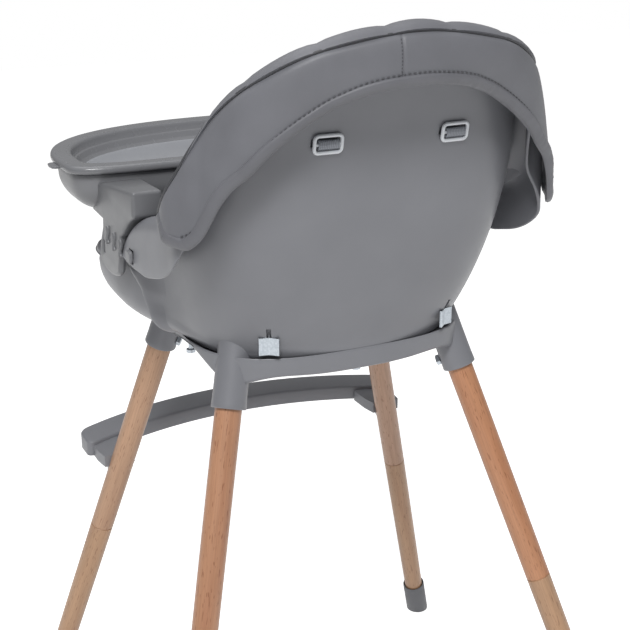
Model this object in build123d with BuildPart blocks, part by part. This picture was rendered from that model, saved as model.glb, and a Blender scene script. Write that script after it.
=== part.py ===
from build123d import *
from math import atan2, cos, degrees, radians, sin, sqrt
import os

# Sizes in millimetres. The chair faces -Y, +X is the seated child's left, the floor is z = 0.

# Legs: round beech, splayed, screwed together from two lengths.
FOOT_HALF_WIDTH = 297.0
FOOT_REAR_Y = 292.0
FOOT_FRONT_Y = -212.5
SOCKET_HALF_WIDTH = 143.0
SOCKET_REAR_Y = 117.0
SOCKET_FRONT_Y = -98.0
SOCKET_MOUTH_Z = 552.0
LEG_SEAM_Z = 300.0
LEG_TOP_DIAMETER = 29.0
LEG_SEAM_DIAMETER = 28.0
LEG_FOOT_DIAMETER = 25.5
LEG_SOCKET_DEPTH = 40.0
STUD_DIAMETER = 8.0
STUD_LENGTH = 47.0
SLIP = 0.15
BLIND_GAP = 0.5

# Foot caps.
CAP_DIAMETER = 31.5
CAP_HEIGHT = 57.0
CAP_FLOOR = 10.0
CAP_TRIM = 12.0
CAP_ROUND = 1.2

# Base frame under the seat.
BASE_TOP_Z = 602.0
BASE_HEIGHT = 20.0
BASE_HALF_WIDTH = 160.0
BASE_CENTRE_Y = 8.0
BASE_REAR_DEPTH = 142.0
BASE_FRONT_DEPTH = 138.0
BASE_RING_WIDTH = 34.0
BASE_WALL = 4.0
SOCKET_DIAMETER = 37.0
LEG_SCREW_UP = 13.0
BASE_POWER = 3.2

# Screws.
SCREW_RADIUS = 2.5
HEX_RADIUS = 6.0
HEX_HEIGHT = 4.5
PAN_RADIUS = 5.0
PAN_HEIGHT = 3.5
BOSS_RADIUS = 8.0

# Seat shell.
SHELL_BOTTOM_Z = BASE_TOP_Z
SHELL_WALL = 3.5
SKIRT_LEAST_DROP = 1.0
SHELL_CORE_RADIUS = 50.0
SHELL_BOSS_RADIUS = 60.0
SHELL_LOW_HALF_WIDTH = 160.0
SHELL_HIGH_HALF_WIDTH = 200.0
SHELL_FRONT_HALF_WIDTH = 195.0
SHELL_LOW_REAR_DEPTH = 150.0
SHELL_REAR_FLARE = 32.0
SHELL_FRONT_DEPTH = 222.0
SHELL_FRONT_TUCK = 10.0
SHELL_TUCK_HEIGHT = 110.0
SHELL_FLARE_HEIGHT = 240.0
SHELL_TOP_TAPER = 24.0
SHELL_TAPER_Z = 820.0
SHELL_TAPER_HEIGHT = 65.0
SHELL_RECLINE = 0.085
SHELL_KICK = 30.0
SHELL_KICK_Z = 840.0
SHELL_KICK_HEIGHT = 110.0
SHELL_KICK_POWER = 1.5
SHELL_UPRIGHT = 8.0
SHELL_BOSS_DROP = 3.0
SHELL_BOSS_RISE = 1.5
REAR_POWER = 2.5
REAR_POWER_GAIN = 1.9
TOP_POWER_GAIN = 0.6
FRONT_POWER = 6.0
WALL_SHARES = (0.25, 0.5, 0.75)
ARMREST_FACE_X = 213.5
SKIRT_DRAFT = 1.5
LIP = 8.0
FRONT_START = 70.0
FRONT_BLEND = 45.0
ARMREST_START = 54.0
ARMREST_BLEND = 9.0
ARMREST_END = 93.0
ARMREST_END_BLEND = 6.0
ROLL_SIGHT = 12.0

# Round the rim: angle from the back, rim height, roll gap, skirt depth, floor corner radius.
RIM_STATIONS = [
    (0, 950, 12, 46, 10),
    (20, 938, 12, 48, 10),
    (35, 910, 13, 54, 10),
    (45, 872, 14, 72, 10),
    (52, 822, 16, 83, 11),
    (60, 770, 18, 62, 14),
    (69, 759, 18, 63, 18),
    (79, 747, 18, 54, 23),
    (83, 740, 16, 47, 26),
    (87, 730, 12, 36, 29),
    (90.5, 718, 8, 22, 31),
    (94, 702, 5, 10, 34),
    (103, 688, 4, LIP, 38),
    (122, 670, 4, LIP, 42),
    (150, 660, 4, LIP, 42),
    (180, 657, 4, LIP, 42),
]

# Padded liner and the flap that folds over the back rim.
LINER_GAP = 0.4
LINER_CREST = 13.0
LINER_VALLEY = 7.0
LINER_FRONT = 9.0
QUILT_PITCH = 15.0
REAR_ANGLES = [index * QUILT_PITCH / 4 for index in range(25)]
FRONT_ANGLES = [95, 103, 112, 122, 136, 150, 165, 180]
SHELL_ANGLES = REAR_ANGLES + FRONT_ANGLES
LINER_FLOOR_GAP = 2.0
LINER_END_DROP = 6.0
LINER_END_SHARE = 0.2
LINER_CORE_INSET = 2.0
LINER_BEAD = 4.0
LINER_FRONT_BLEND = 20.0
SEAT_PAD = 16.0
PAD_CORNER = 20.0
SEAT_Z = SHELL_BOTTOM_Z + SHELL_WALL + SEAT_PAD + LINER_FLOOR_GAP + 0.5
FLAP_THICKNESS = 5.0
FLAP_DRAFT = 2.5
FLAP_LEAST_DROP = 4.0
FLAP_STATIONS = [
    (0, 44), (14, 45), (21, 49), (28, 58), (34, 72),
    (40, 86), (46, 95), (50, 88), (53, 72), (58, 38),
]
FLAP_ANGLES = [angle for angle in REAR_ANGLES if angle < 58]

# Footrest bar.
FOOTREST_TOP_Z = 405.0
FOOTREST_THICKNESS = 20.0
FOOTREST_HALF_LENGTH = 219.0
FOOTREST_FRONT_Y = -270.0
FOOTREST_END_Y = -216.0
FOOTREST_WIDTH = 48.0
CLIP_WALL = 5.0
CLIP_DROP = 16.0
FOOTREST_CORNER = 12.0
FOOTREST_ROUND = 4.0

# Tray.
TRAY_TOP_Z = 780.0
TRAY_RIM = 9.5
TRAY_HALF_WIDTH = 245.0
TRAY_FRONT_DEPTH = 173.0
TRAY_REAR_DEPTH = 70.0
TRAY_CENTRE_Y = -135.0
TRAY_DEPTH = 22.0
TRAY_WALL = 3.0
TRAY_HULL = 50.0
TRAY_FRONT_POWER = 2.25
TRAY_REAR_POWER = 6.0
HULL_LIP_INSET = 6.0
HULL_SIDE_INSET = 18.0
HULL_FLOOR_INSET = 50.0
HULL_SIDE_SHARE = 0.55
WELL_RIM = 22.0
WELL_SLOPE = 18.0
WELL_BELLY_RIM = 10.0
BELLY_RADIUS = 222.0
BELLY_CUT_BELOW = 10.0
BELLY_CUT_ABOVE = 30.0
INSERT_BELLY_LAP = 4.0
BELLY_Y = 125.0
TRAY_TURNS = (0, 25, 45, 60, 68, 73, 77, 83, 90, 98, 108, 120, 134, 150, 165)
TRAY_ANGLES = [-turn for turn in TRAY_TURNS[:0:-1]] + list(TRAY_TURNS) + [180]
JOINT_GAP = 0.4
ARM_INNER_X = 160.0
ARM_END_INNER_X = 180.0
ARM_PLATE_X = 203.5
ARM_TOP_Z = 776.0
ARM_ROOT_Z = 763.0
ARM_CLEARANCE = 3.0
ARMREST_PROBE_INSET = 10.0
ARM_FRONT_Y = -112.0
ARM_REAR_Y = 40.0
ARM_UNDER_Y = (28.0, 14.0)
ARM_BEND_Y = -10.0
PLATE_FRONT_Y = -88.0
PLATE_LEAN = 24.0
PLATE_FRONT_CUT = 10.0
PLATE_REAR_CUT = 14.0
PLATE_FRONT_KNEE = 8.0
PLATE_REAR_KNEES = ((10.0, -6.0), (6.0, 18.0))
TOOTH_REAR_INSET = 6.0
TOOTH_LIFT = 4.0
TOOTH_CORNER = 4.0
PLATE_REAR_Y = -4.0
PLATE_TOP_Z = 730.0
PLATE_LOW_Z = 662.0
PLATE_CORNER = 13.0
TOOTH_WIDTH = 9.0
TOOTH_HEIGHT = 15.0
TOOTH_PITCH = 24.0
TOOTH_PROUD = 2.0
TOOTH_COUNT = 3
TONGUE_THICKNESS = 4.2
TONGUE_HEIGHT = 10.0
TONGUE_GAP = 0.8
TONGUE_Z = 698.0
TONGUE_START_Y = -22.0
TONGUE_END_Y = 72.0
TAB_LENGTH = 26.0
TAB_WIDTH = 14.0
TAB_THICKNESS = 3.0
TAB_OUT = 2.0
TAB_CORNER = 5.0
SCOOP_OVERCUT = 0.1
BUTTON_SIZE = 14.0
BUTTON_Y = 26.0
BUTTON_Z = 704.0
BUTTON_PROUD = 3.5
BUTTON_CORNER = 4.0
BUTTON_ROUND = 1.2
BUTTON_INSET = 1.2
BUTTON_GAP = 0.5

# Harness.
STRAP_WIDTH = 25.0
STRAP_THICKNESS = 1.6
SHOULDER_X = 70.0
SHOULDER_Z = 845.0
SHOULDER_LEAN_X = 46.0
SHOULDER_LEAN_Z = 205.0
SHOULDER_HANG = (30.0, 68.0, 78.0)
LAP_X = 104.0
LAP_Z = 626.0
LAP_END_X = 41.5
LAP_END_BEHIND = 25.0
SLOT_END_GAP = 3.0
SLOT_CUT = 60.0
SLOT_START = 20.0
SLOT_WIDTH = 7.0
SHOULDER_SLOT_WIDTH = 9.0
SHOULDER_SLOT_GAP = 5.5
CROTCH_SLOT_WIDTH = 6.0
STRAP_LIFT = 0.8
CROTCH_Y = -35.0
SLIDE_WIDTH = 37.0
SLIDE_HEIGHT = 24.0
SLIDE_THICKNESS = 3.0
SLIDE_LIFT = 1.3
SLIDE_CORNER = 4.0
SLIDE_FRAME = 4.5
SLIDE_SLOT_WIDTH = 6.0
SLIDE_SLOT_OFFSET = 5.0
SLIDE_SLOT_CORNER = 2.0
STRAP_END_GAP = 0.3
SHOULDER_END_LIFT = 7.0
SHOULDER_BEND_RISE = 14.0
SHOULDER_END_BEHIND = 8.0
ANCHOR_LIFT = 1.8
LAP_START_OUT = 1.2
PLUG_CORNER = 4.0
PLUG_END_GAP = 2.0
CROTCH_END_DROP = 8.0
CROTCH_LIFT = 4.0
CROTCH_REACH = 8.0
CROTCH_CUT = 30.0
CROTCH_ANCHOR_CORNER = 4.0
CROTCH_ANCHOR_GAP = 0.2
BUCKLE_SLOT_LIFT = 3.0
BUCKLE_SLOT_GAP = 0.3
BUCKLE_SLOT_LENGTH = 18.0
BUCKLE_SLOT_HEIGHT = 2.0
RELEASE_CORNER = 4.0
BUCKLE_WIDTH = 50.0
BUCKLE_LENGTH = 40.0
BUCKLE_HEIGHT = 16.0
BUCKLE_Y = 12.0
BUCKLE_CORNER = 9.0
BUCKLE_ROUND = 3.0
BUCKLE_LIFT = 1.0
PLUG_LIFT = 6.0
PLUG_WIDTH = 38.0
PLUG_LENGTH = 36.0
PLUG_X = 23.0
PLUG_Y = 6.0
PLUG_THICKNESS = 3.0
PLUG_GAP = 0.3
RELEASE_WIDTH = 20.0
RELEASE_LENGTH = 16.0
RELEASE_DEPTH = 5.0
RELEASE_GAP = 0.5
RELEASE_PROUD = 2.0
RELEASE_FLOOR_GAP = 2.6
ANCHOR_HEIGHT = 18.0
ANCHOR_FOLD = [(-11, 1), (-5.5, 4.5), (0, 1), (5.5, 4.5), (11, 1)]
ANCHOR_THICKNESS = 1.2
CROTCH_ANCHOR_WIDTH = 42.0
CROTCH_ANCHOR_LENGTH = 22.0
CROTCH_ANCHOR_THICKNESS = 2.3
CROTCH_ANCHOR_DROP = 5.6

CORNERS = [
    ("front_left", 1, FOOT_FRONT_Y, SOCKET_FRONT_Y),
    ("front_right", -1, FOOT_FRONT_Y, SOCKET_FRONT_Y),
    ("rear_left", 1, FOOT_REAR_Y, SOCKET_REAR_Y),
    ("rear_right", -1, FOOT_REAR_Y, SOCKET_REAR_Y),
]
SIDES = [("left", 1), ("right", -1)]
LOW = (Align.CENTER, Align.CENTER, Align.MIN)
SLANT = sqrt(0.5)


def finish(part, name):
    part.label = name
    export_step(part, "parts/" + name + ".step")


def ease(value):
    value = min(max(value, 0.0), 1.0)
    return value * value * (3 - 2 * value)


def station(rows, column, angle):
    # Smooth curve through the rows that never overshoots them.
    places = [row[0] for row in rows]
    values = [row[column] for row in rows]
    slopes = []
    for index in range(len(rows) - 1):
        slopes.append((values[index + 1] - values[index]) / (places[index + 1] - places[index]))
    tangents = [0.0]
    for before, after in zip(slopes, slopes[1:]):
        tangents.append(0.0 if before * after <= 0 else 2 * before * after / (before + after))
    tangents.append(0.0)
    index = 0
    while index < len(rows) - 2 and angle > places[index + 1]:
        index += 1
    span = places[index + 1] - places[index]
    part = (angle - places[index]) / span
    back = 1 - part
    start = values[index] * (1 + 2 * part) + tangents[index] * span * part
    end = values[index + 1] * (3 - 2 * part) - tangents[index + 1] * span * back
    return start * back * back + end * part * part


def oval_radius(angle, half_width, half_depth, power):
    across = abs(sin(radians(angle))) / half_width
    along = abs(cos(radians(angle))) / half_depth
    return (across**power + along**power) ** (-1 / power)


def wall_radius(angle, z):
    # Outside of the shell wall, measured from the upright axis through the seat.
    angle = abs(angle)
    rise = max(z - SHELL_BOTTOM_Z - SHELL_UPRIGHT, 0.0)
    flare = 1 - (1 - min(rise / SHELL_FLARE_HEIGHT, 1.0)) ** 2
    front = ease((angle - FRONT_START) / FRONT_BLEND)
    high = ease((z - SHELL_TAPER_Z) / SHELL_TAPER_HEIGHT)
    rear_width = SHELL_LOW_HALF_WIDTH + (SHELL_HIGH_HALF_WIDTH - SHELL_LOW_HALF_WIDTH) * flare
    rear_width -= SHELL_TOP_TAPER * high
    tuck = SHELL_FRONT_TUCK * (1 - min(rise / SHELL_TUCK_HEIGHT, 1.0)) ** 2
    half_width = rear_width * (1 - front) + (SHELL_FRONT_HALF_WIDTH - tuck) * front
    half_depth = SHELL_FRONT_DEPTH - tuck
    if angle < 90:
        kick = SHELL_KICK * (max(z - SHELL_KICK_Z, 0.0) / SHELL_KICK_HEIGHT) ** SHELL_KICK_POWER
        half_depth = SHELL_LOW_REAR_DEPTH + SHELL_REAR_FLARE * flare + SHELL_RECLINE * rise + kick
    rear_power = REAR_POWER + REAR_POWER_GAIN * flare + TOP_POWER_GAIN * high
    power = rear_power * (1 - front) + FRONT_POWER * front
    return oval_radius(angle, half_width, half_depth, power)


def back_point(x, z):
    # Angle at which the rear wall reaches the given x, and the y it has there.
    low = 0.0
    high = 89.0
    for step in range(40):
        angle = (low + high) / 2
        if wall_radius(angle, z) * sin(radians(angle)) < x:
            low = angle
        else:
            high = angle
    return wall_radius(angle, z) * cos(radians(angle))


def back_normal(x, z):
    # Outward normal of the rear wall.
    across = (back_point(x + 1, z) - back_point(x - 1, z)) / 2
    up = (back_point(x, z + 1) - back_point(x, z - 1)) / 2
    return Vector(-across, 1, -up).normalized()


def radial_plane(angle):
    turn = radians(angle)
    return Plane((0, 0, 0), x_dir=(sin(turn), cos(turn), 0), z_dir=(cos(turn), -sin(turn), 0))


def roll_gap(angle, top):
    # Space between wall and skirt; over the armrest the skirt runs straight along the side.
    gap = station(RIM_STATIONS, 2, angle)
    weight = ease((angle - ARMREST_START) / ARMREST_BLEND) * ease((ARMREST_END - angle) / ARMREST_END_BLEND)
    if weight == 0:
        return gap
    straight = (ARMREST_FACE_X - SHELL_WALL - SKIRT_DRAFT) / sin(radians(angle)) - wall_radius(angle, top)
    return gap * (1 - weight) + straight * weight


def rim_profile(angle):
    rim = station(RIM_STATIONS, 1, angle)
    gap = roll_gap(angle, rim - ROLL_SIGHT)
    top = rim - gap / 2 - SHELL_WALL
    inner = wall_radius(angle, top)
    return rim, gap, top, inner


def quarter(centre, height, radius, side):
    # Quarter of a roll: from its side to its top, or back down again.
    slant = radius * SLANT
    outer = (centre + side * radius, height)
    crown = (centre, height + radius)
    return outer, (centre + side * slant, height + slant), crown


def shell_section(angle):
    rim, gap, top, inner = rim_profile(angle)
    corner = station(RIM_STATIONS, 4, angle)
    skirt_z = min(rim - station(RIM_STATIONS, 3, angle), top - SKIRT_LEAST_DROP)
    low = SHELL_BOTTOM_Z + corner
    edge = wall_radius(angle, low)
    flat = edge - corner
    bend = corner * (1 - SLANT)
    middle = inner + gap / 2
    outer = inner + gap
    steps = [low + (top - low) * part for part in WALL_SHARES]
    outside = [(wall_radius(angle, z), z) for z in steps]
    inside = [(wall_radius(angle, z) - SHELL_WALL, z) for z in reversed(steps)]
    under = gap / 2
    over = gap / 2 + SHELL_WALL
    floor = SHELL_BOTTOM_Z + SHELL_WALL
    bend_in = (corner - SHELL_WALL) * SLANT
    with BuildSketch(radial_plane(angle)) as section:
        with BuildLine():
            Line((SHELL_CORE_RADIUS, SHELL_BOTTOM_Z), (flat, SHELL_BOTTOM_Z))
            ThreePointArc((flat, SHELL_BOTTOM_Z), (edge - bend, SHELL_BOTTOM_Z + bend), (edge, low))
            Polyline((edge, low), *outside, (inner, top))
            ThreePointArc(*quarter(middle, top, under, -1))
            ThreePointArc(*reversed(quarter(middle, top, under, 1)))
            Line((outer, top), (outer + SKIRT_DRAFT, skirt_z))
            Line((outer + SKIRT_DRAFT, skirt_z), (outer + SKIRT_DRAFT + SHELL_WALL, skirt_z))
            Line((outer + SKIRT_DRAFT + SHELL_WALL, skirt_z), (outer + SHELL_WALL, top))
            ThreePointArc(*quarter(middle, top, over, 1))
            ThreePointArc(*reversed(quarter(middle, top, over, -1)))
            Polyline((inner - SHELL_WALL, top), *inside, (edge - SHELL_WALL, low))
            ThreePointArc((edge - SHELL_WALL, low), (flat + bend_in, low - bend_in), (flat, floor))
            Line((flat, floor), (SHELL_CORE_RADIUS, floor))
            Line((SHELL_CORE_RADIUS, floor), (SHELL_CORE_RADIUS, SHELL_BOTTOM_Z))
        make_face()
    return section.sketch


def liner_section(angle):
    rim, gap, top, inner = rim_profile(angle)
    corner = station(RIM_STATIONS, 4, angle)
    low = SHELL_BOTTOM_Z + corner
    edge = wall_radius(angle, low)
    flat = edge - corner
    round_out = corner - SHELL_WALL - LINER_GAP
    bend = round_out * SLANT
    skin = SHELL_WALL + LINER_GAP
    wave = abs(cos(radians(angle * 180 / QUILT_PITCH)))
    thick = LINER_VALLEY + (LINER_CREST - LINER_VALLEY) * wave
    front = ease((angle - FRONT_START) / LINER_FRONT_BLEND)
    thick = thick * (1 - front) + LINER_FRONT * front
    seat = SHELL_BOTTOM_Z + SHELL_WALL + LINER_FLOOR_GAP
    pad = seat + SEAT_PAD
    end = top - min(LINER_END_DROP, (top - low) * LINER_END_SHARE)
    foot = pad + PAD_CORNER
    steps = [low + (top - low) * part for part in WALL_SHARES]
    outside = [(wall_radius(angle, z) - skin, z) for z in steps]
    rise = [foot + (end - foot) * part for part in reversed(WALL_SHARES)]
    inside = [(wall_radius(angle, z) - skin - thick, z) for z in rise]
    share = (end - steps[-1]) / (top - steps[-1])
    outer_end = wall_radius(angle, steps[-1]) * (1 - share) + inner * share - skin
    inner_foot = wall_radius(angle, foot) - skin - thick
    bend_in = PAD_CORNER * (1 - SLANT)
    core = SHELL_CORE_RADIUS - LINER_CORE_INSET
    with BuildSketch(radial_plane(angle)) as section:
        with BuildLine():
            Line((core, seat), (flat, low - round_out))
            ThreePointArc((flat, low - round_out), (flat + bend, low - bend), (flat + round_out, low))
            Polyline((flat + round_out, low), *outside, (outer_end, end))
            bead = (outer_end - thick / 2, end + LINER_BEAD)
            ThreePointArc((outer_end, end), bead, (outer_end - thick, end))
            Polyline((outer_end - thick, end), *inside, (inner_foot, foot))
            pad_edge = inner_foot - PAD_CORNER
            ThreePointArc((inner_foot, foot), (inner_foot - bend_in, pad + bend_in), (pad_edge, pad))
            Line((pad_edge, pad), (core, pad))
            Line((core, pad), (core, seat))
        make_face()
    return section.sketch


def flap_section(angle):
    rim, gap, top, inner = rim_profile(angle)
    middle = inner + gap / 2
    under = gap / 2 + SHELL_WALL + LINER_GAP
    over = under + FLAP_THICKNESS
    hem = min(rim - station(FLAP_STATIONS, 1, angle), top - FLAP_LEAST_DROP)
    with BuildSketch(radial_plane(angle)) as section:
        with BuildLine():
            ThreePointArc(*quarter(middle, top, under, -1))
            ThreePointArc(*reversed(quarter(middle, top, under, 1)))
            Line((middle + under, top), (middle + under + FLAP_DRAFT, hem))
            Line((middle + under + FLAP_DRAFT, hem), (middle + over + FLAP_DRAFT, hem))
            Line((middle + over + FLAP_DRAFT, hem), (middle + over, top))
            ThreePointArc(*quarter(middle, top, over, 1))
            ThreePointArc(*reversed(quarter(middle, top, over, -1)))
            Line((middle - over, top), (middle - under, top))
        make_face()
    return section.sketch


def oval_outline(half_width, rear_depth, front_depth, power, centre_y):
    points = []
    for angle in range(0, 360, 12):
        depth = rear_depth if cos(radians(angle)) > 0 else front_depth
        radius = oval_radius(angle, half_width, depth, power)
        points.append((radius * sin(radians(angle)), centre_y + radius * cos(radians(angle))))
    return points


def leg_axis(side, foot_y, socket_y):
    # Plane standing on the foot point, its z along the leg, its x pointing in under the seat.
    foot = Vector(side * FOOT_HALF_WIDTH, foot_y, 0)
    mouth = Vector(side * SOCKET_HALF_WIDTH, socket_y, SOCKET_MOUTH_Z)
    along = (mouth - foot).normalized()
    inward = Vector(-side * SOCKET_HALF_WIDTH, BASE_CENTRE_Y - socket_y, 0).normalized()
    inward = (inward - along * inward.dot(along)).normalized()
    return Plane(foot, x_dir=inward, z_dir=along), (mouth - foot).length


def leg_radius(share):
    # Radius of the leg at a share of the way from the floor to the socket mouth.
    seam = LEG_SEAM_Z / SOCKET_MOUTH_Z
    if share < seam:
        return (LEG_FOOT_DIAMETER + (LEG_SEAM_DIAMETER - LEG_FOOT_DIAMETER) * share / seam) / 2
    rest = min((share - seam) / (1 - seam), 1.0)
    return (LEG_SEAM_DIAMETER + (LEG_TOP_DIAMETER - LEG_SEAM_DIAMETER) * rest) / 2


os.makedirs("parts", exist_ok=True)

# Legs, foot caps and their fasteners.
studs = []
leg_screws = []
for corner_name, side, foot_y, socket_y in CORNERS:
    axis, mouth = leg_axis(side, foot_y, socket_y)
    seam = mouth * LEG_SEAM_Z / SOCKET_MOUTH_Z
    screw_line = Plane(axis.offset(mouth + LEG_SCREW_UP).origin, z_dir=axis.x_dir)
    half_stud = STUD_LENGTH / 2

    with BuildPart(axis.offset(seam)) as upper_leg:
        Cone(LEG_SEAM_DIAMETER / 2, LEG_TOP_DIAMETER / 2, mouth - seam, align=LOW)
        with BuildSketch(axis.offset(mouth)):
            Circle(LEG_TOP_DIAMETER / 2)
        extrude(amount=LEG_SOCKET_DEPTH - BLIND_GAP)
        with BuildSketch(axis.offset(seam)):
            Circle(STUD_DIAMETER / 2 + SLIP)
        extrude(amount=half_stud + BLIND_GAP, mode=Mode.SUBTRACT)
        with BuildSketch(screw_line):
            Circle(SCREW_RADIUS + SLIP)
        extrude(amount=LEG_TOP_DIAMETER, mode=Mode.SUBTRACT)
    finish(upper_leg.part, "upper_leg_" + corner_name)

    with BuildPart(axis.offset(CAP_FLOOR)) as lower_leg:
        Cone(LEG_FOOT_DIAMETER / 2, LEG_SEAM_DIAMETER / 2, seam - CAP_FLOOR, align=LOW)
        with BuildSketch(axis.offset(seam)):
            Circle(STUD_DIAMETER / 2 + SLIP)
        extrude(amount=-half_stud - BLIND_GAP, mode=Mode.SUBTRACT)
    finish(lower_leg.part, "lower_leg_" + corner_name)

    with BuildPart(axis.offset(seam - half_stud)) as stud:
        Cylinder(STUD_DIAMETER / 2, STUD_LENGTH, align=LOW)
    studs.append(stud.part)

    with BuildPart(axis.offset(-CAP_TRIM)) as foot_cap:
        Cylinder(CAP_DIAMETER / 2, CAP_HEIGHT + CAP_TRIM, align=LOW)
        fillet(foot_cap.edges().group_by(Axis.Z)[-1], CAP_ROUND)
        with BuildSketch(axis.offset(CAP_FLOOR)):
            Circle(LEG_FOOT_DIAMETER / 2 + SLIP)
        with BuildSketch(axis.offset(CAP_HEIGHT)):
            Circle(leg_radius(CAP_HEIGHT / mouth) + 2 * SLIP)
        loft(mode=Mode.SUBTRACT)
        with BuildSketch(Plane.XY):
            with Locations((side * FOOT_HALF_WIDTH, foot_y)):
                Rectangle(4 * CAP_DIAMETER, 4 * CAP_DIAMETER)
        extrude(amount=-2 * CAP_TRIM, mode=Mode.SUBTRACT)
    finish(foot_cap.part, "foot_cap_" + corner_name)

    with BuildPart() as leg_screw:
        with BuildSketch(screw_line):
            Circle(SCREW_RADIUS)
        extrude(amount=SOCKET_DIAMETER / 2)
        with BuildSketch(screw_line.offset(SOCKET_DIAMETER / 2)):
            RegularPolygon(HEX_RADIUS, 6)
        extrude(amount=HEX_HEIGHT)
    leg_screws.append(leg_screw.part)

finish(Compound(studs), "leg_studs")
finish(Compound(leg_screws), "leg_screws")

# Base frame: hollow ring with four leg sockets.
screw_places = [
    (0, BASE_CENTRE_Y + BASE_REAR_DEPTH - BASE_RING_WIDTH / 2),
    (0, BASE_CENTRE_Y - BASE_FRONT_DEPTH + BASE_RING_WIDTH / 2),
    (BASE_HALF_WIDTH - BASE_RING_WIDTH / 2, BASE_CENTRE_Y),
    (-BASE_HALF_WIDTH + BASE_RING_WIDTH / 2, BASE_CENTRE_Y),
]
base_low = Plane.XY.offset(BASE_TOP_Z - BASE_HEIGHT)


def base_outline(inset):
    half_width = BASE_HALF_WIDTH - inset
    rear = BASE_REAR_DEPTH - inset
    return oval_outline(half_width, rear, BASE_FRONT_DEPTH - inset, BASE_POWER, BASE_CENTRE_Y)


with BuildPart() as base_frame:
    with BuildSketch(base_low):
        with BuildLine():
            Spline(*base_outline(0), periodic=True)
        make_face()
        with BuildLine():
            Spline(*base_outline(BASE_RING_WIDTH), periodic=True)
        make_face(mode=Mode.SUBTRACT)
    extrude(amount=BASE_HEIGHT)
    with BuildSketch(base_low):
        with BuildLine():
            Spline(*base_outline(BASE_WALL), periodic=True)
        make_face()
        with BuildLine():
            Spline(*base_outline(BASE_RING_WIDTH - BASE_WALL), periodic=True)
        make_face(mode=Mode.SUBTRACT)
    extrude(amount=BASE_HEIGHT - BASE_WALL, mode=Mode.SUBTRACT)
    with BuildSketch(base_low):
        with Locations(*screw_places):
            Circle(BOSS_RADIUS)
    extrude(amount=BASE_HEIGHT)
    for corner_name, side, foot_y, socket_y in CORNERS:
        axis, mouth = leg_axis(side, foot_y, socket_y)
        with BuildSketch(axis.offset(mouth)):
            Circle(SOCKET_DIAMETER / 2)
        extrude(amount=2 * LEG_SOCKET_DEPTH)
    with BuildSketch(Plane.XY.offset(BASE_TOP_Z)):
        Rectangle(4 * BASE_HALF_WIDTH, 4 * BASE_HALF_WIDTH)
    extrude(amount=2 * LEG_SOCKET_DEPTH, mode=Mode.SUBTRACT)
    for corner_name, side, foot_y, socket_y in CORNERS:
        axis, mouth = leg_axis(side, foot_y, socket_y)
        with BuildSketch(axis.offset(mouth)):
            Circle(LEG_TOP_DIAMETER / 2 + SLIP)
        extrude(amount=LEG_SOCKET_DEPTH, mode=Mode.SUBTRACT)
        with BuildSketch(Plane(axis.offset(mouth + LEG_SCREW_UP).origin, z_dir=axis.x_dir)):
            Circle(SCREW_RADIUS + SLIP)
        extrude(amount=SOCKET_DIAMETER, mode=Mode.SUBTRACT)
    with BuildSketch(base_low):
        with Locations(*screw_places):
            Circle(SCREW_RADIUS + SLIP)
    extrude(amount=BASE_HEIGHT, mode=Mode.SUBTRACT)
finish(base_frame.part, "base_frame")

seat_screws = []
for place in screw_places:
    with BuildPart() as seat_screw:
        with BuildSketch(base_low):
            with Locations(place):
                Circle(SCREW_RADIUS)
        extrude(amount=BASE_HEIGHT + SHELL_WALL - BLIND_GAP)
        with BuildSketch(base_low):
            with Locations(place):
                Circle(PAN_RADIUS)
        extrude(amount=-PAN_HEIGHT)
    seat_screws.append(seat_screw.part)
finish(Compound(seat_screws), "seat_screws")

# Seat shell.
lap_normal = back_normal(LAP_X, LAP_Z)


def lap_direction(side):
    return Vector(side * lap_normal.X, lap_normal.Y, 0).normalized()


def strap_slots(side):
    # Solids that cut one shoulder slot and one lap slot through shell and liner.
    outward = lap_direction(side)
    slot_z = SEAT_Z + STRAP_LIFT + STRAP_WIDTH / 2
    lap_start = Vector(side * LAP_X, back_point(LAP_X, LAP_Z), slot_z) + outward * 2 * SLOT_WIDTH
    with BuildPart() as slots:
        with BuildSketch(Plane.XZ.offset(-back_point(SHOULDER_X, SHOULDER_Z) - SLOT_START)):
            with Locations((side * SHOULDER_X, SHOULDER_Z)):
                Rectangle(STRAP_WIDTH + 2 * SHOULDER_SLOT_GAP, SHOULDER_SLOT_WIDTH)
        extrude(amount=SLOT_CUT)
        with BuildSketch(Plane(lap_start, x_dir=(0, 0, 1), z_dir=-outward)):
            Rectangle(STRAP_WIDTH + 2 * SLOT_END_GAP, SLOT_WIDTH)
        extrude(amount=SLOT_CUT)
    return slots.part


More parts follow.
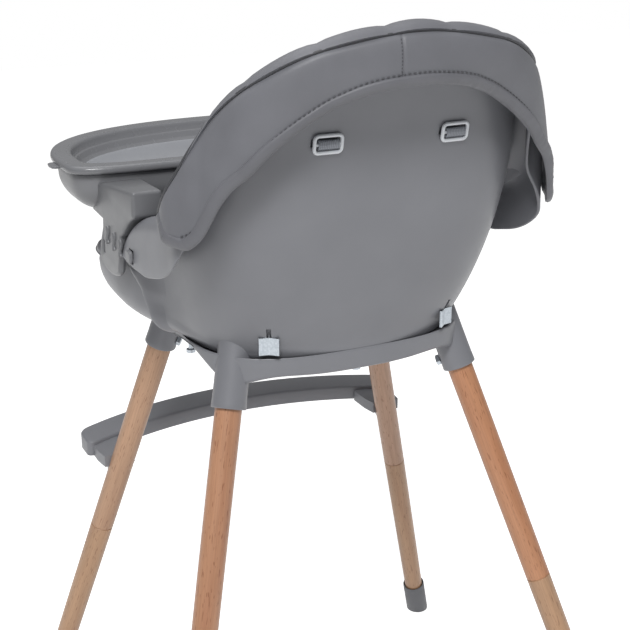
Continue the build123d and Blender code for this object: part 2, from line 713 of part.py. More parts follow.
with BuildPart() as seat_shell:
    loft([shell_section(angle) for angle in SHELL_ANGLES], ruled=True)
    mirror(about=Plane.YZ)
    with BuildSketch(Plane.XY.offset(SHELL_BOTTOM_Z - SHELL_BOSS_DROP)):
        Circle(SHELL_BOSS_RADIUS)
    extrude(amount=SHELL_WALL + SHELL_BOSS_DROP + SHELL_BOSS_RISE)
    with BuildSketch(Plane.XY.offset(SHELL_BOTTOM_Z - 2 * SHELL_BOSS_DROP)):
        with Locations((0, CROTCH_Y)):
            Rectangle(STRAP_WIDTH + 2 * SLOT_END_GAP, CROTCH_SLOT_WIDTH)
        with Locations(*screw_places):
            Circle(SCREW_RADIUS + SLIP)
    extrude(amount=CROTCH_CUT, mode=Mode.SUBTRACT)
    for side_name, side in SIDES:
        add(strap_slots(side), mode=Mode.SUBTRACT)
        with BuildSketch(Plane.YZ.offset(side * (ARMREST_FACE_X - LIP))):
            with Locations((BUTTON_Y, BUTTON_Z)):
                RectangleRounded(BUTTON_SIZE + 2 * BUTTON_GAP, BUTTON_SIZE + 2 * BUTTON_GAP, BUTTON_CORNER)
        extrude(amount=side * 2 * LIP, mode=Mode.SUBTRACT)
        with BuildSketch(Plane.YZ.offset(side * (ARM_PLATE_X - TONGUE_GAP))):
            with Locations((0, TONGUE_Z)):
                Rectangle(-2 * TONGUE_START_Y, TONGUE_HEIGHT + 2 * TONGUE_GAP)
        extrude(amount=side * (TONGUE_THICKNESS + 2 * TONGUE_GAP), mode=Mode.SUBTRACT)
finish(seat_shell.part, "seat_shell")

# Padded liner with upright quilt channels, and the flap over the rim.
with BuildPart() as seat_liner:
    loft([liner_section(angle) for angle in SHELL_ANGLES], ruled=True)
    mirror(about=Plane.YZ)
    with BuildSketch(Plane.XY.offset(SEAT_Z - SEAT_PAD)):
        Circle(SHELL_BOSS_RADIUS)
    extrude(amount=SEAT_PAD)
    with BuildSketch(Plane.XY.offset(SHELL_BOTTOM_Z)):
        with Locations((0, CROTCH_Y)):
            Rectangle(STRAP_WIDTH + 2 * SLOT_END_GAP, CROTCH_SLOT_WIDTH)
    extrude(amount=SEAT_Z, mode=Mode.SUBTRACT)
    for side_name, side in SIDES:
        add(strap_slots(side), mode=Mode.SUBTRACT)
finish(seat_liner.part, "seat_liner")

with BuildPart() as rim_flap:
    loft([flap_section(angle) for angle in FLAP_ANGLES], ruled=True)
    mirror(about=Plane.YZ)
finish(rim_flap.part, "rim_flap")


# Footrest: a bowed bar with a clip moulded under each end.
def footrest_edge(behind):
    end_y = FOOTREST_END_Y + behind
    middle = (0, FOOTREST_FRONT_Y + behind)
    return ThreePointArc((-FOOTREST_HALF_LENGTH, end_y), middle, (FOOTREST_HALF_LENGTH, end_y))


with BuildPart() as footrest:
    with BuildSketch(Plane.XY.offset(FOOTREST_TOP_Z - FOOTREST_THICKNESS)):
        with BuildLine():
            front = footrest_edge(0)
            rear = footrest_edge(FOOTREST_WIDTH)
            Line(front @ 0, rear @ 0)
            Line(front @ 1, rear @ 1)
        make_face()
    extrude(amount=FOOTREST_THICKNESS)
    fillet(footrest.edges().filter_by(Axis.Z), FOOTREST_CORNER)
    fillet(footrest.faces().sort_by(Axis.Z)[-1].edges(), FOOTREST_ROUND)
    for corner_name, side, foot_y, socket_y in CORNERS[:2]:
        axis, mouth = leg_axis(side, foot_y, socket_y)
        middle_z = FOOTREST_TOP_Z - FOOTREST_THICKNESS
        centre = axis.offset(mouth * middle_z / SOCKET_MOUTH_Z)
        radius = leg_radius(middle_z / SOCKET_MOUTH_Z)
        with BuildSketch(centre.offset(-CLIP_DROP)):
            Circle(radius + CLIP_WALL)
        extrude(amount=CLIP_DROP + FOOTREST_THICKNESS - FOOTREST_ROUND)
        with BuildSketch(Plane.XY.offset(middle_z)):
            with Locations((centre.origin.X, (centre.origin.Y + FOOTREST_END_Y) / 2)):
                Rectangle(2 * (radius + CLIP_WALL), abs(centre.origin.Y - FOOTREST_END_Y))
        extrude(amount=FOOTREST_THICKNESS - FOOTREST_ROUND)
        with BuildSketch(centre.offset(-2 * FOOTREST_WIDTH)):
            Circle(radius + SLIP)
        extrude(amount=4 * FOOTREST_WIDTH, mode=Mode.SUBTRACT)
        mouth_plane = Plane(centre.origin, x_dir=(1, 0, 0), z_dir=centre.z_dir)
        with BuildSketch(mouth_plane.offset(-2 * FOOTREST_WIDTH)):
            with Locations((0, radius / 2 + FOOTREST_WIDTH)):
                Rectangle(3 * FOOTREST_WIDTH, 2 * FOOTREST_WIDTH)
        extrude(amount=4 * FOOTREST_WIDTH, mode=Mode.SUBTRACT)
finish(footrest.part, "footrest")


# Tray: hull with two arms that ride on the armrests, and a lift-out insert.
def tray_face(inset, z):
    # Outline of the tray at one height: square towards the child, tapered away from it.
    half_width = TRAY_HALF_WIDTH - inset
    points = []
    for angle in TRAY_ANGLES:
        depth = TRAY_FRONT_DEPTH - inset
        power = TRAY_FRONT_POWER
        if abs(angle) < 90:
            depth = TRAY_REAR_DEPTH - inset
            power = TRAY_REAR_POWER
        radius = oval_radius(angle, half_width, depth, power)
        points.append((radius * sin(radians(angle)), TRAY_CENTRE_Y + radius * cos(radians(angle))))
    with BuildSketch(Plane.XY.offset(z)) as outline:
        with BuildLine():
            Spline(*points, periodic=True)
        make_face()
    return outline.sketch


hull_top = TRAY_TOP_Z - TRAY_RIM - JOINT_GAP
hull_low = hull_top - TRAY_HULL
hull_middle = hull_top - TRAY_HULL * HULL_SIDE_SHARE
hull_steps = [(HULL_LIP_INSET, hull_top), (HULL_SIDE_INSET, hull_middle), (HULL_FLOOR_INSET, hull_low)]


def tray_solid(steps, belly):
    # Dish through the steps (inset, height), with a round bite out of its near side.
    with BuildPart() as dish:
        loft([tray_face(inset, z) for inset, z in steps])
        with BuildSketch(Plane.XY.offset(hull_low - BELLY_CUT_BELOW)):
            with Locations((0, BELLY_Y)):
                Circle(belly)
        extrude(amount=BELLY_CUT_BELOW + TRAY_HULL + BELLY_CUT_ABOVE, mode=Mode.SUBTRACT)
    return dish.part


def armrest_height(y):
    return station(RIM_STATIONS, 1, degrees(atan2(ARMREST_FACE_X - ARMREST_PROBE_INSET, y)))


def arm_block(side):
    # One tray arm: it rises from the hull to its end over the armrest, and widens towards the hull.
    with BuildPart() as block:
        with BuildSketch(Plane.YZ.offset(side * ARM_INNER_X)):
            with BuildLine():
                Polyline(
                    (ARM_FRONT_Y, hull_low + 2 * TRAY_WALL),
                    (ARM_FRONT_Y, ARM_ROOT_Z),
                    (TRAY_CENTRE_Y + TRAY_REAR_DEPTH, ARM_ROOT_Z),
                    (ARM_REAR_Y, ARM_TOP_Z),
                    *[(y, armrest_height(y) + ARM_CLEARANCE) for y in (ARM_REAR_Y, *ARM_UNDER_Y)],
                    (ARM_BEND_Y, armrest_height(0) + ARM_CLEARANCE),
                    (ARM_FRONT_Y, hull_low + 2 * TRAY_WALL),
                )
            make_face()
        extrude(amount=side * (ARMREST_FACE_X - ARM_INNER_X))
        with BuildSketch(Plane.XY.offset(hull_low)):
            with BuildLine():
                Polyline(
                    (side * ARM_INNER_X, ARM_FRONT_Y),
                    (side * ARMREST_FACE_X, ARM_FRONT_Y),
                    (side * ARMREST_FACE_X, ARM_REAR_Y),
                    (side * ARM_END_INNER_X, ARM_REAR_Y),
                    (side * ARM_INNER_X, ARM_FRONT_Y),
                )
            make_face()
        extrude(amount=ARM_TOP_Z, both=True, mode=Mode.INTERSECT)
    return block.part


with BuildPart() as tray_base:
    add(tray_solid(hull_steps, BELLY_RADIUS))
    for side_name, side in SIDES:
        add(arm_block(side))
    hollow = [(inset + TRAY_WALL, z + TRAY_WALL) for inset, z in hull_steps]
    add(tray_solid(hollow, BELLY_RADIUS + TRAY_WALL), mode=Mode.SUBTRACT)
    for side_name, side in SIDES:
        with BuildSketch(Plane.YZ.offset(side * ARM_PLATE_X)):
            with BuildLine():
                corner_z = PLATE_LOW_Z + PLATE_CORNER
                front_corner = (PLATE_FRONT_Y + PLATE_FRONT_CUT, corner_z)
                rear_corner = (PLATE_REAR_Y - PLATE_REAR_CUT, corner_z)
                front_top = (PLATE_FRONT_Y + PLATE_LEAN, PLATE_TOP_Z)
                lowest = ((front_corner[0] + rear_corner[0]) / 2, PLATE_LOW_Z)
                Polyline(front_top, (PLATE_FRONT_Y, TONGUE_Z - PLATE_FRONT_KNEE), front_corner)
                ThreePointArc(front_corner, lowest, rear_corner)
                rear_edge = [(PLATE_REAR_Y - back, TONGUE_Z + up) for back, up in PLATE_REAR_KNEES]
                Polyline(rear_corner, *rear_edge, (PLATE_REAR_Y, PLATE_TOP_Z), front_top)
            make_face()
        extrude(amount=side * (ARMREST_FACE_X - ARM_PLATE_X))
        with BuildSketch(Plane.YZ.offset(side * ARM_PLATE_X)):
            with Locations(((TONGUE_START_Y + TONGUE_END_Y) / 2, TONGUE_Z)):
                Rectangle(TONGUE_END_Y - TONGUE_START_Y, TONGUE_HEIGHT)
        extrude(amount=side * TONGUE_THICKNESS)
        with BuildSketch(Plane.YZ.offset(side * ARMREST_FACE_X)):
            for tooth in range(TOOTH_COUNT):
                tooth_y = PLATE_REAR_Y - TOOTH_REAR_INSET - TOOTH_PITCH * (TOOTH_COUNT - 1 - tooth)
                with Locations((tooth_y, TONGUE_Z + TOOTH_LIFT)):
                    RectangleRounded(TOOTH_WIDTH, TOOTH_HEIGHT, TOOTH_CORNER)
        extrude(amount=side * TOOTH_PROUD)
finish(tray_base.part, "tray_base")

well_low = TRAY_TOP_Z - TRAY_DEPTH
well_belly = BELLY_RADIUS + TRAY_WALL + WELL_BELLY_RIM
with BuildPart() as tray_insert:
    add(tray_solid([(0, TRAY_TOP_Z - TRAY_RIM), (0, TRAY_TOP_Z)], BELLY_RADIUS - INSERT_BELLY_LAP))
    well = [(WELL_RIM, TRAY_TOP_Z - 2 * TRAY_WALL), (WELL_RIM + WELL_SLOPE, well_low - TRAY_WALL)]
    add(tray_solid(well, well_belly))
    scoop = [(WELL_RIM + TRAY_WALL, TRAY_TOP_Z + SCOOP_OVERCUT), (WELL_RIM + WELL_SLOPE + TRAY_WALL, well_low)]
    add(tray_solid(scoop, well_belly + TRAY_WALL), mode=Mode.SUBTRACT)
    for side_name, side in SIDES:
        with BuildSketch(Plane.XY.offset(TRAY_TOP_Z - TRAY_RIM)):
            with Locations((side * (TRAY_HALF_WIDTH + TAB_OUT), TRAY_CENTRE_Y)):
                RectangleRounded(TAB_WIDTH, TAB_LENGTH, TAB_CORNER)
        extrude(amount=TAB_THICKNESS)
finish(tray_insert.part, "tray_insert")

for side_name, side in SIDES:
    with BuildPart() as tray_button:
        with BuildSketch(Plane.YZ.offset(side * (ARMREST_FACE_X - BUTTON_INSET))):
            with Locations((BUTTON_Y, BUTTON_Z)):
                RectangleRounded(BUTTON_SIZE, BUTTON_SIZE, BUTTON_CORNER)
        extrude(amount=side * (BUTTON_PROUD + BUTTON_INSET))
        outer_face = tray_button.faces().sort_by(Axis.X)[-1 if side > 0 else 0]
        fillet(outer_face.edges(), BUTTON_ROUND)
    finish(tray_button.part, "tray_button_" + side_name)

# Harness.
buckle_low = SEAT_Z + BUCKLE_LIFT
tongue_z = buckle_low + PLUG_LIFT
buckle_rear = BUCKLE_Y + BUCKLE_LENGTH / 2
for side_name, side in SIDES:
    normal = back_normal(SHOULDER_X, SHOULDER_Z)
    normal = Vector(side * normal.X, normal.Y, normal.Z)
    wall = Vector(side * SHOULDER_X, back_point(SHOULDER_X, SHOULDER_Z), SHOULDER_Z)
    with BuildPart() as strap_slide:
        across = Vector(side * normal.Y, -side * normal.X, 0)
        with BuildSketch(Plane(wall + normal * SLIDE_LIFT, x_dir=across, z_dir=normal)):
            RectangleRounded(SLIDE_WIDTH, SLIDE_HEIGHT, SLIDE_CORNER)
            with Locations((0, SLIDE_SLOT_OFFSET), (0, -SLIDE_SLOT_OFFSET)):
                slot_length = SLIDE_WIDTH - 2 * SLIDE_FRAME
                RectangleRounded(slot_length, SLIDE_SLOT_WIDTH, SLIDE_SLOT_CORNER, mode=Mode.SUBTRACT)
        extrude(amount=SLIDE_THICKNESS)
    finish(strap_slide.part, "strap_slide_" + side_name)

    lean = Vector(side * SHOULDER_LEAN_X, 0, SHOULDER_LEAN_Z).normalized()
    strap_plane = Plane(
        Vector(side * SHOULDER_X, 0, SHOULDER_Z) - Vector(0, 1, 0).cross(lean) * (STRAP_WIDTH / 2),
        x_dir=(0, 1, 0),
        z_dir=Vector(0, 1, 0).cross(lean),
    )
    rear_y = wall.Y - STRAP_END_GAP
    front_y, bend_y, low_y = [wall.Y - reach for reach in SHOULDER_HANG]
    drop = (SHOULDER_Z - tongue_z - SHOULDER_END_LIFT) / lean.Z
    with BuildPart() as shoulder_strap:
        with BuildSketch(strap_plane):
            with BuildLine():
                strap_end = (buckle_rear + SHOULDER_END_BEHIND, -drop)
                hang = [(bend_y, -drop + SHOULDER_BEND_RISE), (low_y, -drop), strap_end]
                path = Polyline((rear_y, 0), (front_y, 0), *hang)
                offset(path, amount=STRAP_THICKNESS / 2, kind=Kind.INTERSECTION)
            make_face()
        extrude(amount=STRAP_WIDTH)
    finish(shoulder_strap.part, "shoulder_strap_" + side_name)

    outward = lap_direction(side)
    anchor_wall = Vector(side * LAP_X, back_point(LAP_X, LAP_Z), LAP_Z)
    anchor_across = Vector(outward.Y, -outward.X, 0)
    anchor_plane = Plane(anchor_wall + outward * ANCHOR_LIFT, x_dir=anchor_across, z_dir=(0, 0, 1))
    with BuildPart() as lap_anchor:
        with BuildSketch(anchor_plane.offset(-ANCHOR_HEIGHT / 2)):
            with BuildLine():
                fold = Polyline(*ANCHOR_FOLD)
                offset(fold, amount=ANCHOR_THICKNESS / 2, kind=Kind.INTERSECTION)
            make_face()
        extrude(amount=ANCHOR_HEIGHT)
    finish(lap_anchor.part, "lap_anchor_" + side_name)

    lap_start = anchor_wall + outward * LAP_START_OUT
    lap_turn = lap_start - outward * 2 * STRAP_WIDTH
    with BuildPart() as lap_strap:
        with BuildSketch(Plane.XY.offset(SEAT_Z + STRAP_LIFT)):
            with BuildLine():
                run = Polyline(
                    (lap_start.X, lap_start.Y),
                    (lap_turn.X, lap_turn.Y),
                    (side * LAP_END_X, buckle_rear + LAP_END_BEHIND),
                )
                offset(run, amount=STRAP_THICKNESS / 2, kind=Kind.INTERSECTION)
            make_face()
        extrude(amount=STRAP_WIDTH)
    finish(lap_strap.part, "lap_strap_" + side_name)

    with BuildPart() as buckle_tongue:
        with BuildSketch(Plane.XY.offset(tongue_z)):
            with Locations((side * PLUG_X, buckle_rear + PLUG_Y)):
                RectangleRounded(PLUG_WIDTH, PLUG_LENGTH, PLUG_CORNER)
        extrude(amount=PLUG_THICKNESS)
    finish(buckle_tongue.part, "buckle_tongue_" + side_name)

with BuildPart() as crotch_strap:
    with BuildSketch(Plane.YZ.offset(-STRAP_WIDTH / 2)):
        with BuildLine():
            rise = Polyline(
                (CROTCH_Y, SHELL_BOTTOM_Z - CROTCH_END_DROP),
                (CROTCH_Y, buckle_low + CROTCH_LIFT),
                (BUCKLE_Y - BUCKLE_LENGTH / 2 + CROTCH_REACH, buckle_low + CROTCH_LIFT),
            )
            offset(rise, amount=STRAP_THICKNESS / 2, kind=Kind.INTERSECTION)
        make_face()
    extrude(amount=STRAP_WIDTH)
finish(crotch_strap.part, "crotch_strap")

with BuildPart() as crotch_anchor:
    with BuildSketch(Plane.XY.offset(SHELL_BOTTOM_Z - CROTCH_ANCHOR_DROP)):
        with Locations((0, CROTCH_Y)):
            RectangleRounded(CROTCH_ANCHOR_WIDTH, CROTCH_ANCHOR_LENGTH, CROTCH_ANCHOR_CORNER)
            slot_length = STRAP_WIDTH + 2 * CROTCH_ANCHOR_GAP
            slot_width = STRAP_THICKNESS + 2 * CROTCH_ANCHOR_GAP
            Rectangle(slot_length, slot_width, mode=Mode.SUBTRACT)
    extrude(amount=CROTCH_ANCHOR_THICKNESS)
finish(crotch_anchor.part, "crotch_anchor")

with BuildPart() as buckle_body:
    with BuildSketch(Plane.XY.offset(buckle_low)):
        with Locations((0, BUCKLE_Y)):
            RectangleRounded(BUCKLE_WIDTH, BUCKLE_LENGTH, BUCKLE_CORNER)
    extrude(amount=BUCKLE_HEIGHT)
    fillet(buckle_body.faces().sort_by(Axis.Z)[-1].edges(), BUCKLE_ROUND)
    with BuildSketch(Plane.XY.offset(tongue_z - PLUG_GAP)):
        with Locations((0, buckle_rear)):
            Rectangle(2 * BUCKLE_WIDTH, PLUG_LENGTH - 2 * PLUG_Y + PLUG_END_GAP)
    extrude(amount=PLUG_THICKNESS + 2 * PLUG_GAP, mode=Mode.SUBTRACT)
    with BuildSketch(Plane.XY.offset(buckle_low + BUCKLE_SLOT_LIFT)):
        with Locations((0, BUCKLE_Y - BUCKLE_LENGTH / 2)):
            Rectangle(STRAP_WIDTH + 2 * BUCKLE_SLOT_GAP, BUCKLE_SLOT_LENGTH)
    extrude(amount=BUCKLE_SLOT_HEIGHT, mode=Mode.SUBTRACT)
    with BuildSketch(Plane.XY.offset(buckle_low + BUCKLE_HEIGHT - RELEASE_DEPTH)):
        with Locations((0, BUCKLE_Y)):
            RectangleRounded(RELEASE_WIDTH, RELEASE_LENGTH, RELEASE_CORNER)
    extrude(amount=2 * RELEASE_DEPTH, mode=Mode.SUBTRACT)
finish(buckle_body.part, "buckle_body")

with BuildPart() as buckle_button:
    release_low = buckle_low + BUCKLE_HEIGHT - RELEASE_DEPTH + RELEASE_FLOOR_GAP
    release_top = buckle_low + BUCKLE_HEIGHT + RELEASE_PROUD
    with BuildSketch(Plane.XY.offset(release_low)):
        with Locations((0, BUCKLE_Y)):
            release_size = (RELEASE_WIDTH - 2 * RELEASE_GAP, RELEASE_LENGTH - 2 * RELEASE_GAP)
            RectangleRounded(*release_size, RELEASE_CORNER - RELEASE_GAP)
    extrude(amount=release_top - release_low)
finish(buckle_button.part, "buckle_button")
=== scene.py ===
from math import atan2, cos, degrees, exp, hypot, pi, radians, sin, sqrt

import bmesh
import bpy
import numpy as np
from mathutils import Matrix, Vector, noise


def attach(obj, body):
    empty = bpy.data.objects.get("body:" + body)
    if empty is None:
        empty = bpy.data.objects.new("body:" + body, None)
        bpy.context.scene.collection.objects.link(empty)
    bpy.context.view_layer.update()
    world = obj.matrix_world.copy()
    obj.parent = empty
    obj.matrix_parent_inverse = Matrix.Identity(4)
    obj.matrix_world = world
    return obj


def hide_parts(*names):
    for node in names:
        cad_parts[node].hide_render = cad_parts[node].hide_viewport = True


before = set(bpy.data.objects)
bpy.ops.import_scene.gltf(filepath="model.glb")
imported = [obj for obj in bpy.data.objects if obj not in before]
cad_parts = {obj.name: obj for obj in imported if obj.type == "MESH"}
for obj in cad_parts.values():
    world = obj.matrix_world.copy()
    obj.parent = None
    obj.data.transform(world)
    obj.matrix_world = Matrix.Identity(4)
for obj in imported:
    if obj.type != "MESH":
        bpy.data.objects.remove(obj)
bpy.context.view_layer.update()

# Sizes in millimetres, in the same frame as the CAD; meshes are scaled to metres when they are made.
MM = 0.001
X, Y, Z = (1, 0, 0), (0, 1, 0), (0, 0, 1)
SIDES = [("left", 1), ("right", -1)]

# Bucket: walls, flare, kick of the back, belly of the front
BOTTOM = 602.0
WALL = 3.5
GAP = 0.4
ARMREST_X = 213.5
DRAFT = 1.5
UPRIGHT = 8.0
FLARE_HEIGHT = 240.0
LOW_HALF_WIDTH = 160
FLARE_WIDTH = 31
TAPER, TAPER_Z, TAPER_HEIGHT = 15, 820, 65
REAR_DEPTH, REAR_FLARE, REAR_LEAN = 150, 32, 0.085
KICK, KICK_Z, KICK_HEIGHT = 30, 840, 110
FRONT_HALF_WIDTH, FRONT_DEPTH = 195, 222
FRONT_TUCK, TUCK_HEIGHT = 3.0, 110.0
BELLY, BELLY_HEIGHT = 5.0, 70.0
FRONT_POWER = 6.0
BUTTON_Y, BUTTON_Z = 26, 704
# Angle from the back, rim height, width of the rolled rim, depth of its skirt, corner at the floor.
RIM = [
    (0, 953, 12, 46, 10), (20, 941, 12, 48, 10), (35, 910, 13, 54, 10), (45, 872, 14, 72, 10),
    (52, 822, 16, 83, 11), (60, 770, 18, 62, 14), (69, 759, 18, 63, 18), (79, 747, 18, 54, 23),
    (83, 740, 16, 47, 26), (87, 730, 12, 36, 29), (90.5, 718, 8, 22, 31), (94, 702, 5, 10, 34),
    (103, 688, 4, 8, 38), (122, 670, 4, 8, 42), (150, 660, 4, 8, 42), (180, 657, 4, 8, 42),
]

# Flap and liner; the hem by angle, radius and height
HEM = [
    (0, 261, 903), (7, 261, 901), (12, 261, 897), (16, 260, 891), (20, 260, 883), (24, 263, 872),
    (28, 267, 859), (31.6, 271, 845), (35.8, 274, 825), (40, 277, 808), (44.4, 279, 782),
    (49, 278, 759), (53, 275, 751), (62, 272, 749),
]
WING_END = 57.2
WING_ROUND = 5.0
PIPING_TURN = 33.0
SEAM_AT = 5.0
FLAP_THICK = 5.0
SEAT_Z = 624.0
STITCH_INSET, STITCH_LENGTH, STITCH_PITCH = 13.4, 3.2, 5.2
HEM_CORNER, HEM_RISE = 0.72, 0.28

# Harness; the strap's section in half widths and half thicknesses
SHOULDER_X, SHOULDER_Z = 70, 845
LAP_X, LAP_Z = 104, 626
CROTCH_Y = -35
STRAP_WIDTH = 25.0
STRAP_SECTION = [
    (-1, -0.4), (-0.9, -1), (0, -1.05), (0.9, -1), (1, -0.4),
    (1, 0.4), (0.9, 1), (0, 1.05), (-0.9, 1), (-1, 0.4),
]

# Footrest
REST_Z = 385.0
REST_HALF, REST_ROUND = 219.0, 14.0
REST_WIDTH, REST_THICK = 48, 20
REST_FRONT_Y, REST_BOW = -270.0, 54.0
REST_SECTION = [
    (2.0, 0), (0.6, 0.6), (0, 2), (0, 17), (0.5, 18.6), (1.6, 19.6), (3.2, 20),
    (44.8, 20), (46.4, 19.6), (47.5, 18.6), (48, 17), (48, 2), (47.4, 0.6), (46, 0),
]

# Legs, caps and base; each corner with its side, foot and socket
CORNERS = [
    ("front_left", 1, -212.5, -98.0), ("front_right", -1, -212.5, -98.0),
    ("rear_left", 1, 292.0, 117.0), ("rear_right", -1, 292.0, 117.0),
]
FOOT_X = 297.0
SOCKET_X = 143.0
MOUTH_Z = 552.0
SEAM_Z = 300.0
LEG_FOOT, LEG_SEAM, LEG_TOP = 25.5, 28.0, 29.0
CAP_RADIUS, CAP_HEIGHT = 15.75, 57.0
SOCKET_RADIUS = 18.5
BASE_Y = 8.0
RING_HALF_WIDTH, RING_REAR, RING_FRONT = 160.0, 142.0, 138.0
RING_LOW, RING_LIP = 585.0, 609.0
FIN_LOW, FIN_TOP = 604, 686

# Tray
TRAY_Y = -135.0
TRAY_HALF_WIDTH, TRAY_FRONT, TRAY_REAR = 245.0, 173.0, 70.0
BELLY_Y = 125.0

# Light and camera, in metres
FLOOR_GLOW, WORLD_LIGHT = 0.75, 0.28
CAMERA_PLACE, CAMERA_TARGET = (0.600, 1.262, 1.092), (0, 0.033, 0.613)


# Shapes
def ease(value):
    value = min(max(value, 0.0), 1.0)
    return value * value * (3 - 2 * value)


def station(rows, column, place):
    places = [row[0] for row in rows]
    values = [row[column] for row in rows]
    slopes = []
    for i in range(len(rows) - 1):
        slopes.append((values[i + 1] - values[i]) / (places[i + 1] - places[i]))
    tangents = [0.0]
    for before, after in zip(slopes, slopes[1:]):
        tangents.append(0.0 if before * after <= 0 else 2 * before * after / (before + after))
    tangents.append(0.0)
    i = 0
    while i < len(rows) - 2 and place > places[i + 1]:
        i += 1
    span = places[i + 1] - places[i]
    share = (place - places[i]) / span
    back = 1 - share
    start = values[i] * (1 + 2 * share) + tangents[i] * span * share
    end = values[i + 1] * (3 - 2 * share) - tangents[i + 1] * span * back
    return start * back * back + end * share * share


def oval_radius(angle, half_width, half_depth, power):
    across = abs(sin(radians(angle))) / half_width
    along = abs(cos(radians(angle))) / half_depth
    return (across**power + along**power) ** (-1 / power)


def wall_radius(angle, z):
    # Outside of the bucket's wall at an angle from the back and a height.
    angle = abs(angle)
    rise = max(z - BOTTOM - UPRIGHT, 0.0)
    flare = 1 - (1 - min(rise / FLARE_HEIGHT, 1.0)) ** 2
    front = ease((angle - 70) / 45)
    tuck = FRONT_TUCK * (1 - min(rise / TUCK_HEIGHT, 1.0)) ** 2
    high = ease((z - TAPER_Z) / TAPER_HEIGHT)
    belly = BELLY * sin(pi * min(rise / BELLY_HEIGHT, 1.0))
    rear_width = LOW_HALF_WIDTH + FLARE_WIDTH * flare - TAPER * high
    half_width = rear_width * (1 - front) + (FRONT_HALF_WIDTH - tuck + belly) * front
    half_depth = FRONT_DEPTH - tuck + belly
    if angle < 90:
        kick = KICK * (max(z - KICK_Z, 0.0) / KICK_HEIGHT) ** 1.5
        half_depth = REAR_DEPTH + REAR_FLARE * flare + REAR_LEAN * rise + kick
    front_power = FRONT_POWER - 1.7 * ease((rise - 25) / 40)
    power = (2.5 + 1.9 * flare + 0.6 * high) * (1 - front) + front_power * front
    return oval_radius(angle, half_width, half_depth, power)


def rim_profile(angle):
    rim = station(RIM, 1, angle)
    gap = station(RIM, 2, angle)
    weight = ease((angle - 46) / 8) * ease((92.8 - angle) / 1.4)
    if weight > 0:
        straight = (ARMREST_X - WALL - DRAFT) / sin(radians(angle)) - wall_radius(angle, rim - 12.0)
        gap = gap * (1 - weight) + straight * weight
    top = rim - gap / 2 - WALL
    return rim, gap, top, wall_radius(angle, top)


def arc(cx, cz, radius, start, end, count):
    turn = np.radians(np.linspace(start, end, count))
    return list(zip(cx + radius * np.cos(turn), cz + radius * np.sin(turn)))


def around(phi, loop):
    turn = radians(phi)
    return [(r * sin(turn), r * cos(turn), z) for r, z in loop]


def loft(rings, closed=False):
    count = len(rings[0])
    total = len(rings)
    points = np.vstack([np.asarray(ring, float) for ring in rings])
    faces = []
    for i in range(total if closed else total - 1):
        a = i * count
        b = ((i + 1) % total) * count
        for j in range(count):
            k = (j + 1) % count
            faces.append((a + j, a + k, b + k, b + j))
    if not closed:
        faces.append(tuple(range(count)))
        faces.append(tuple(range((total - 1) * count, total * count)))
    return points, faces


def join(*meshes):
    points = []
    faces = []
    start = 0
    for some_points, some_faces in meshes:
        points.append(np.asarray(some_points, float))
        faces += [tuple(i + start for i in face) for face in some_faces]
        start += len(some_points)
    return np.vstack(points), faces


def make_object(name, mesh, material, sharp=40):
    points, faces = mesh
    data = bpy.data.meshes.new(name)
    data.from_pydata((np.asarray(points) * MM).tolist(), [], faces)
    shape = bmesh.new()
    shape.from_mesh(data)
    bmesh.ops.recalc_face_normals(shape, faces=shape.faces)
    shape.to_mesh(data)
    shape.free()
    data.shade_smooth()
    data.set_sharp_from_angle(angle=radians(sharp))
    data.materials.append(material)
    thing = bpy.data.objects.new(name, data)
    bpy.context.scene.collection.objects.link(thing)
    return thing


def settle(thing, body="chair", stands_for=()):
    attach(thing, body)
    if stands_for:
        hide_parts(*stands_for)


def bevel(thing, width, segments=3, angle=35):
    modifier = thing.modifiers.new("edges", "BEVEL")
    modifier.width = width * MM
    modifier.segments = segments
    modifier.limit_method = "ANGLE"
    modifier.angle_limit = radians(angle)
    modifier.harden_normals = True
    return thing


def cut(thing, mesh, operation="DIFFERENCE"):
    cutter = make_object("cutter", mesh, thing.data.materials[0])
    modifier = thing.modifiers.new("cut", "BOOLEAN")
    modifier.operation = operation
    modifier.solver = "EXACT"
    modifier.object = cutter
    bpy.context.view_layer.update()
    depsgraph = bpy.context.evaluated_depsgraph_get()
    result = bpy.data.meshes.new_from_object(thing.evaluated_get(depsgraph))
    thing.modifiers.clear()
    old = thing.data
    thing.data = result
    bpy.data.meshes.remove(old)
    bpy.data.objects.remove(cutter)
    thing.data.shade_smooth()
    thing.data.set_sharp_from_angle(angle=radians(40))


def box_mesh(centre, sizes, directions=(X, Y, Z)):
    axes = [np.array(axis, float) * size / 2 for axis, size in zip(directions, sizes)]
    middle = np.array(centre, float)
    corners = ((-1, -1), (1, -1), (1, 1), (-1, 1))
    return loft([[middle + axes[0] * a + axes[1] * b + axes[2] * c for a, b in corners] for c in (-1, 1)])


def prism(outline, x0, x1):
    # Outline in the side view (y, z), drawn out along x.
    return loft([[(x, y, z) for y, z in outline] for x in (x0, x1)])


def frame_axes(along):
    along = Vector(along).normalized()
    side = along.cross(Vector((0, 0, 1)) if abs(along.z) < 0.95 else Vector((1, 0, 0))).normalized()
    return along, side, along.cross(side)


def circle(centre, side, up, radius, count):
    turns = [2 * pi * i / count for i in range(count)]
    return [centre + (side * cos(turn) + up * sin(turn)) * radius for turn in turns]


def lathe(origin, along, profile):
    along, side, up = frame_axes(along)
    return loft([circle(Vector(origin) + along * s, side, up, radius, 64) for s, radius in profile])


def smooth_path(points, steps):
    # Curve through the points, for straps.
    points = [Vector(point) for point in points]
    padded = [points[0] * 2 - points[1]] + points + [points[-1] * 2 - points[-2]]
    path = []
    for i in range(1, len(padded) - 2):
        a, b, c, d = padded[i - 1:i + 3]
        for j in range(steps):
            t = j / steps
            path.append(0.5 * ((2 * b) + (c - a) * t + (2 * a - 5 * b + 4 * c - d) * t * t
                               + (3 * b - a - 3 * c + d) * t**3))
    path.append(points[-1])
    return path


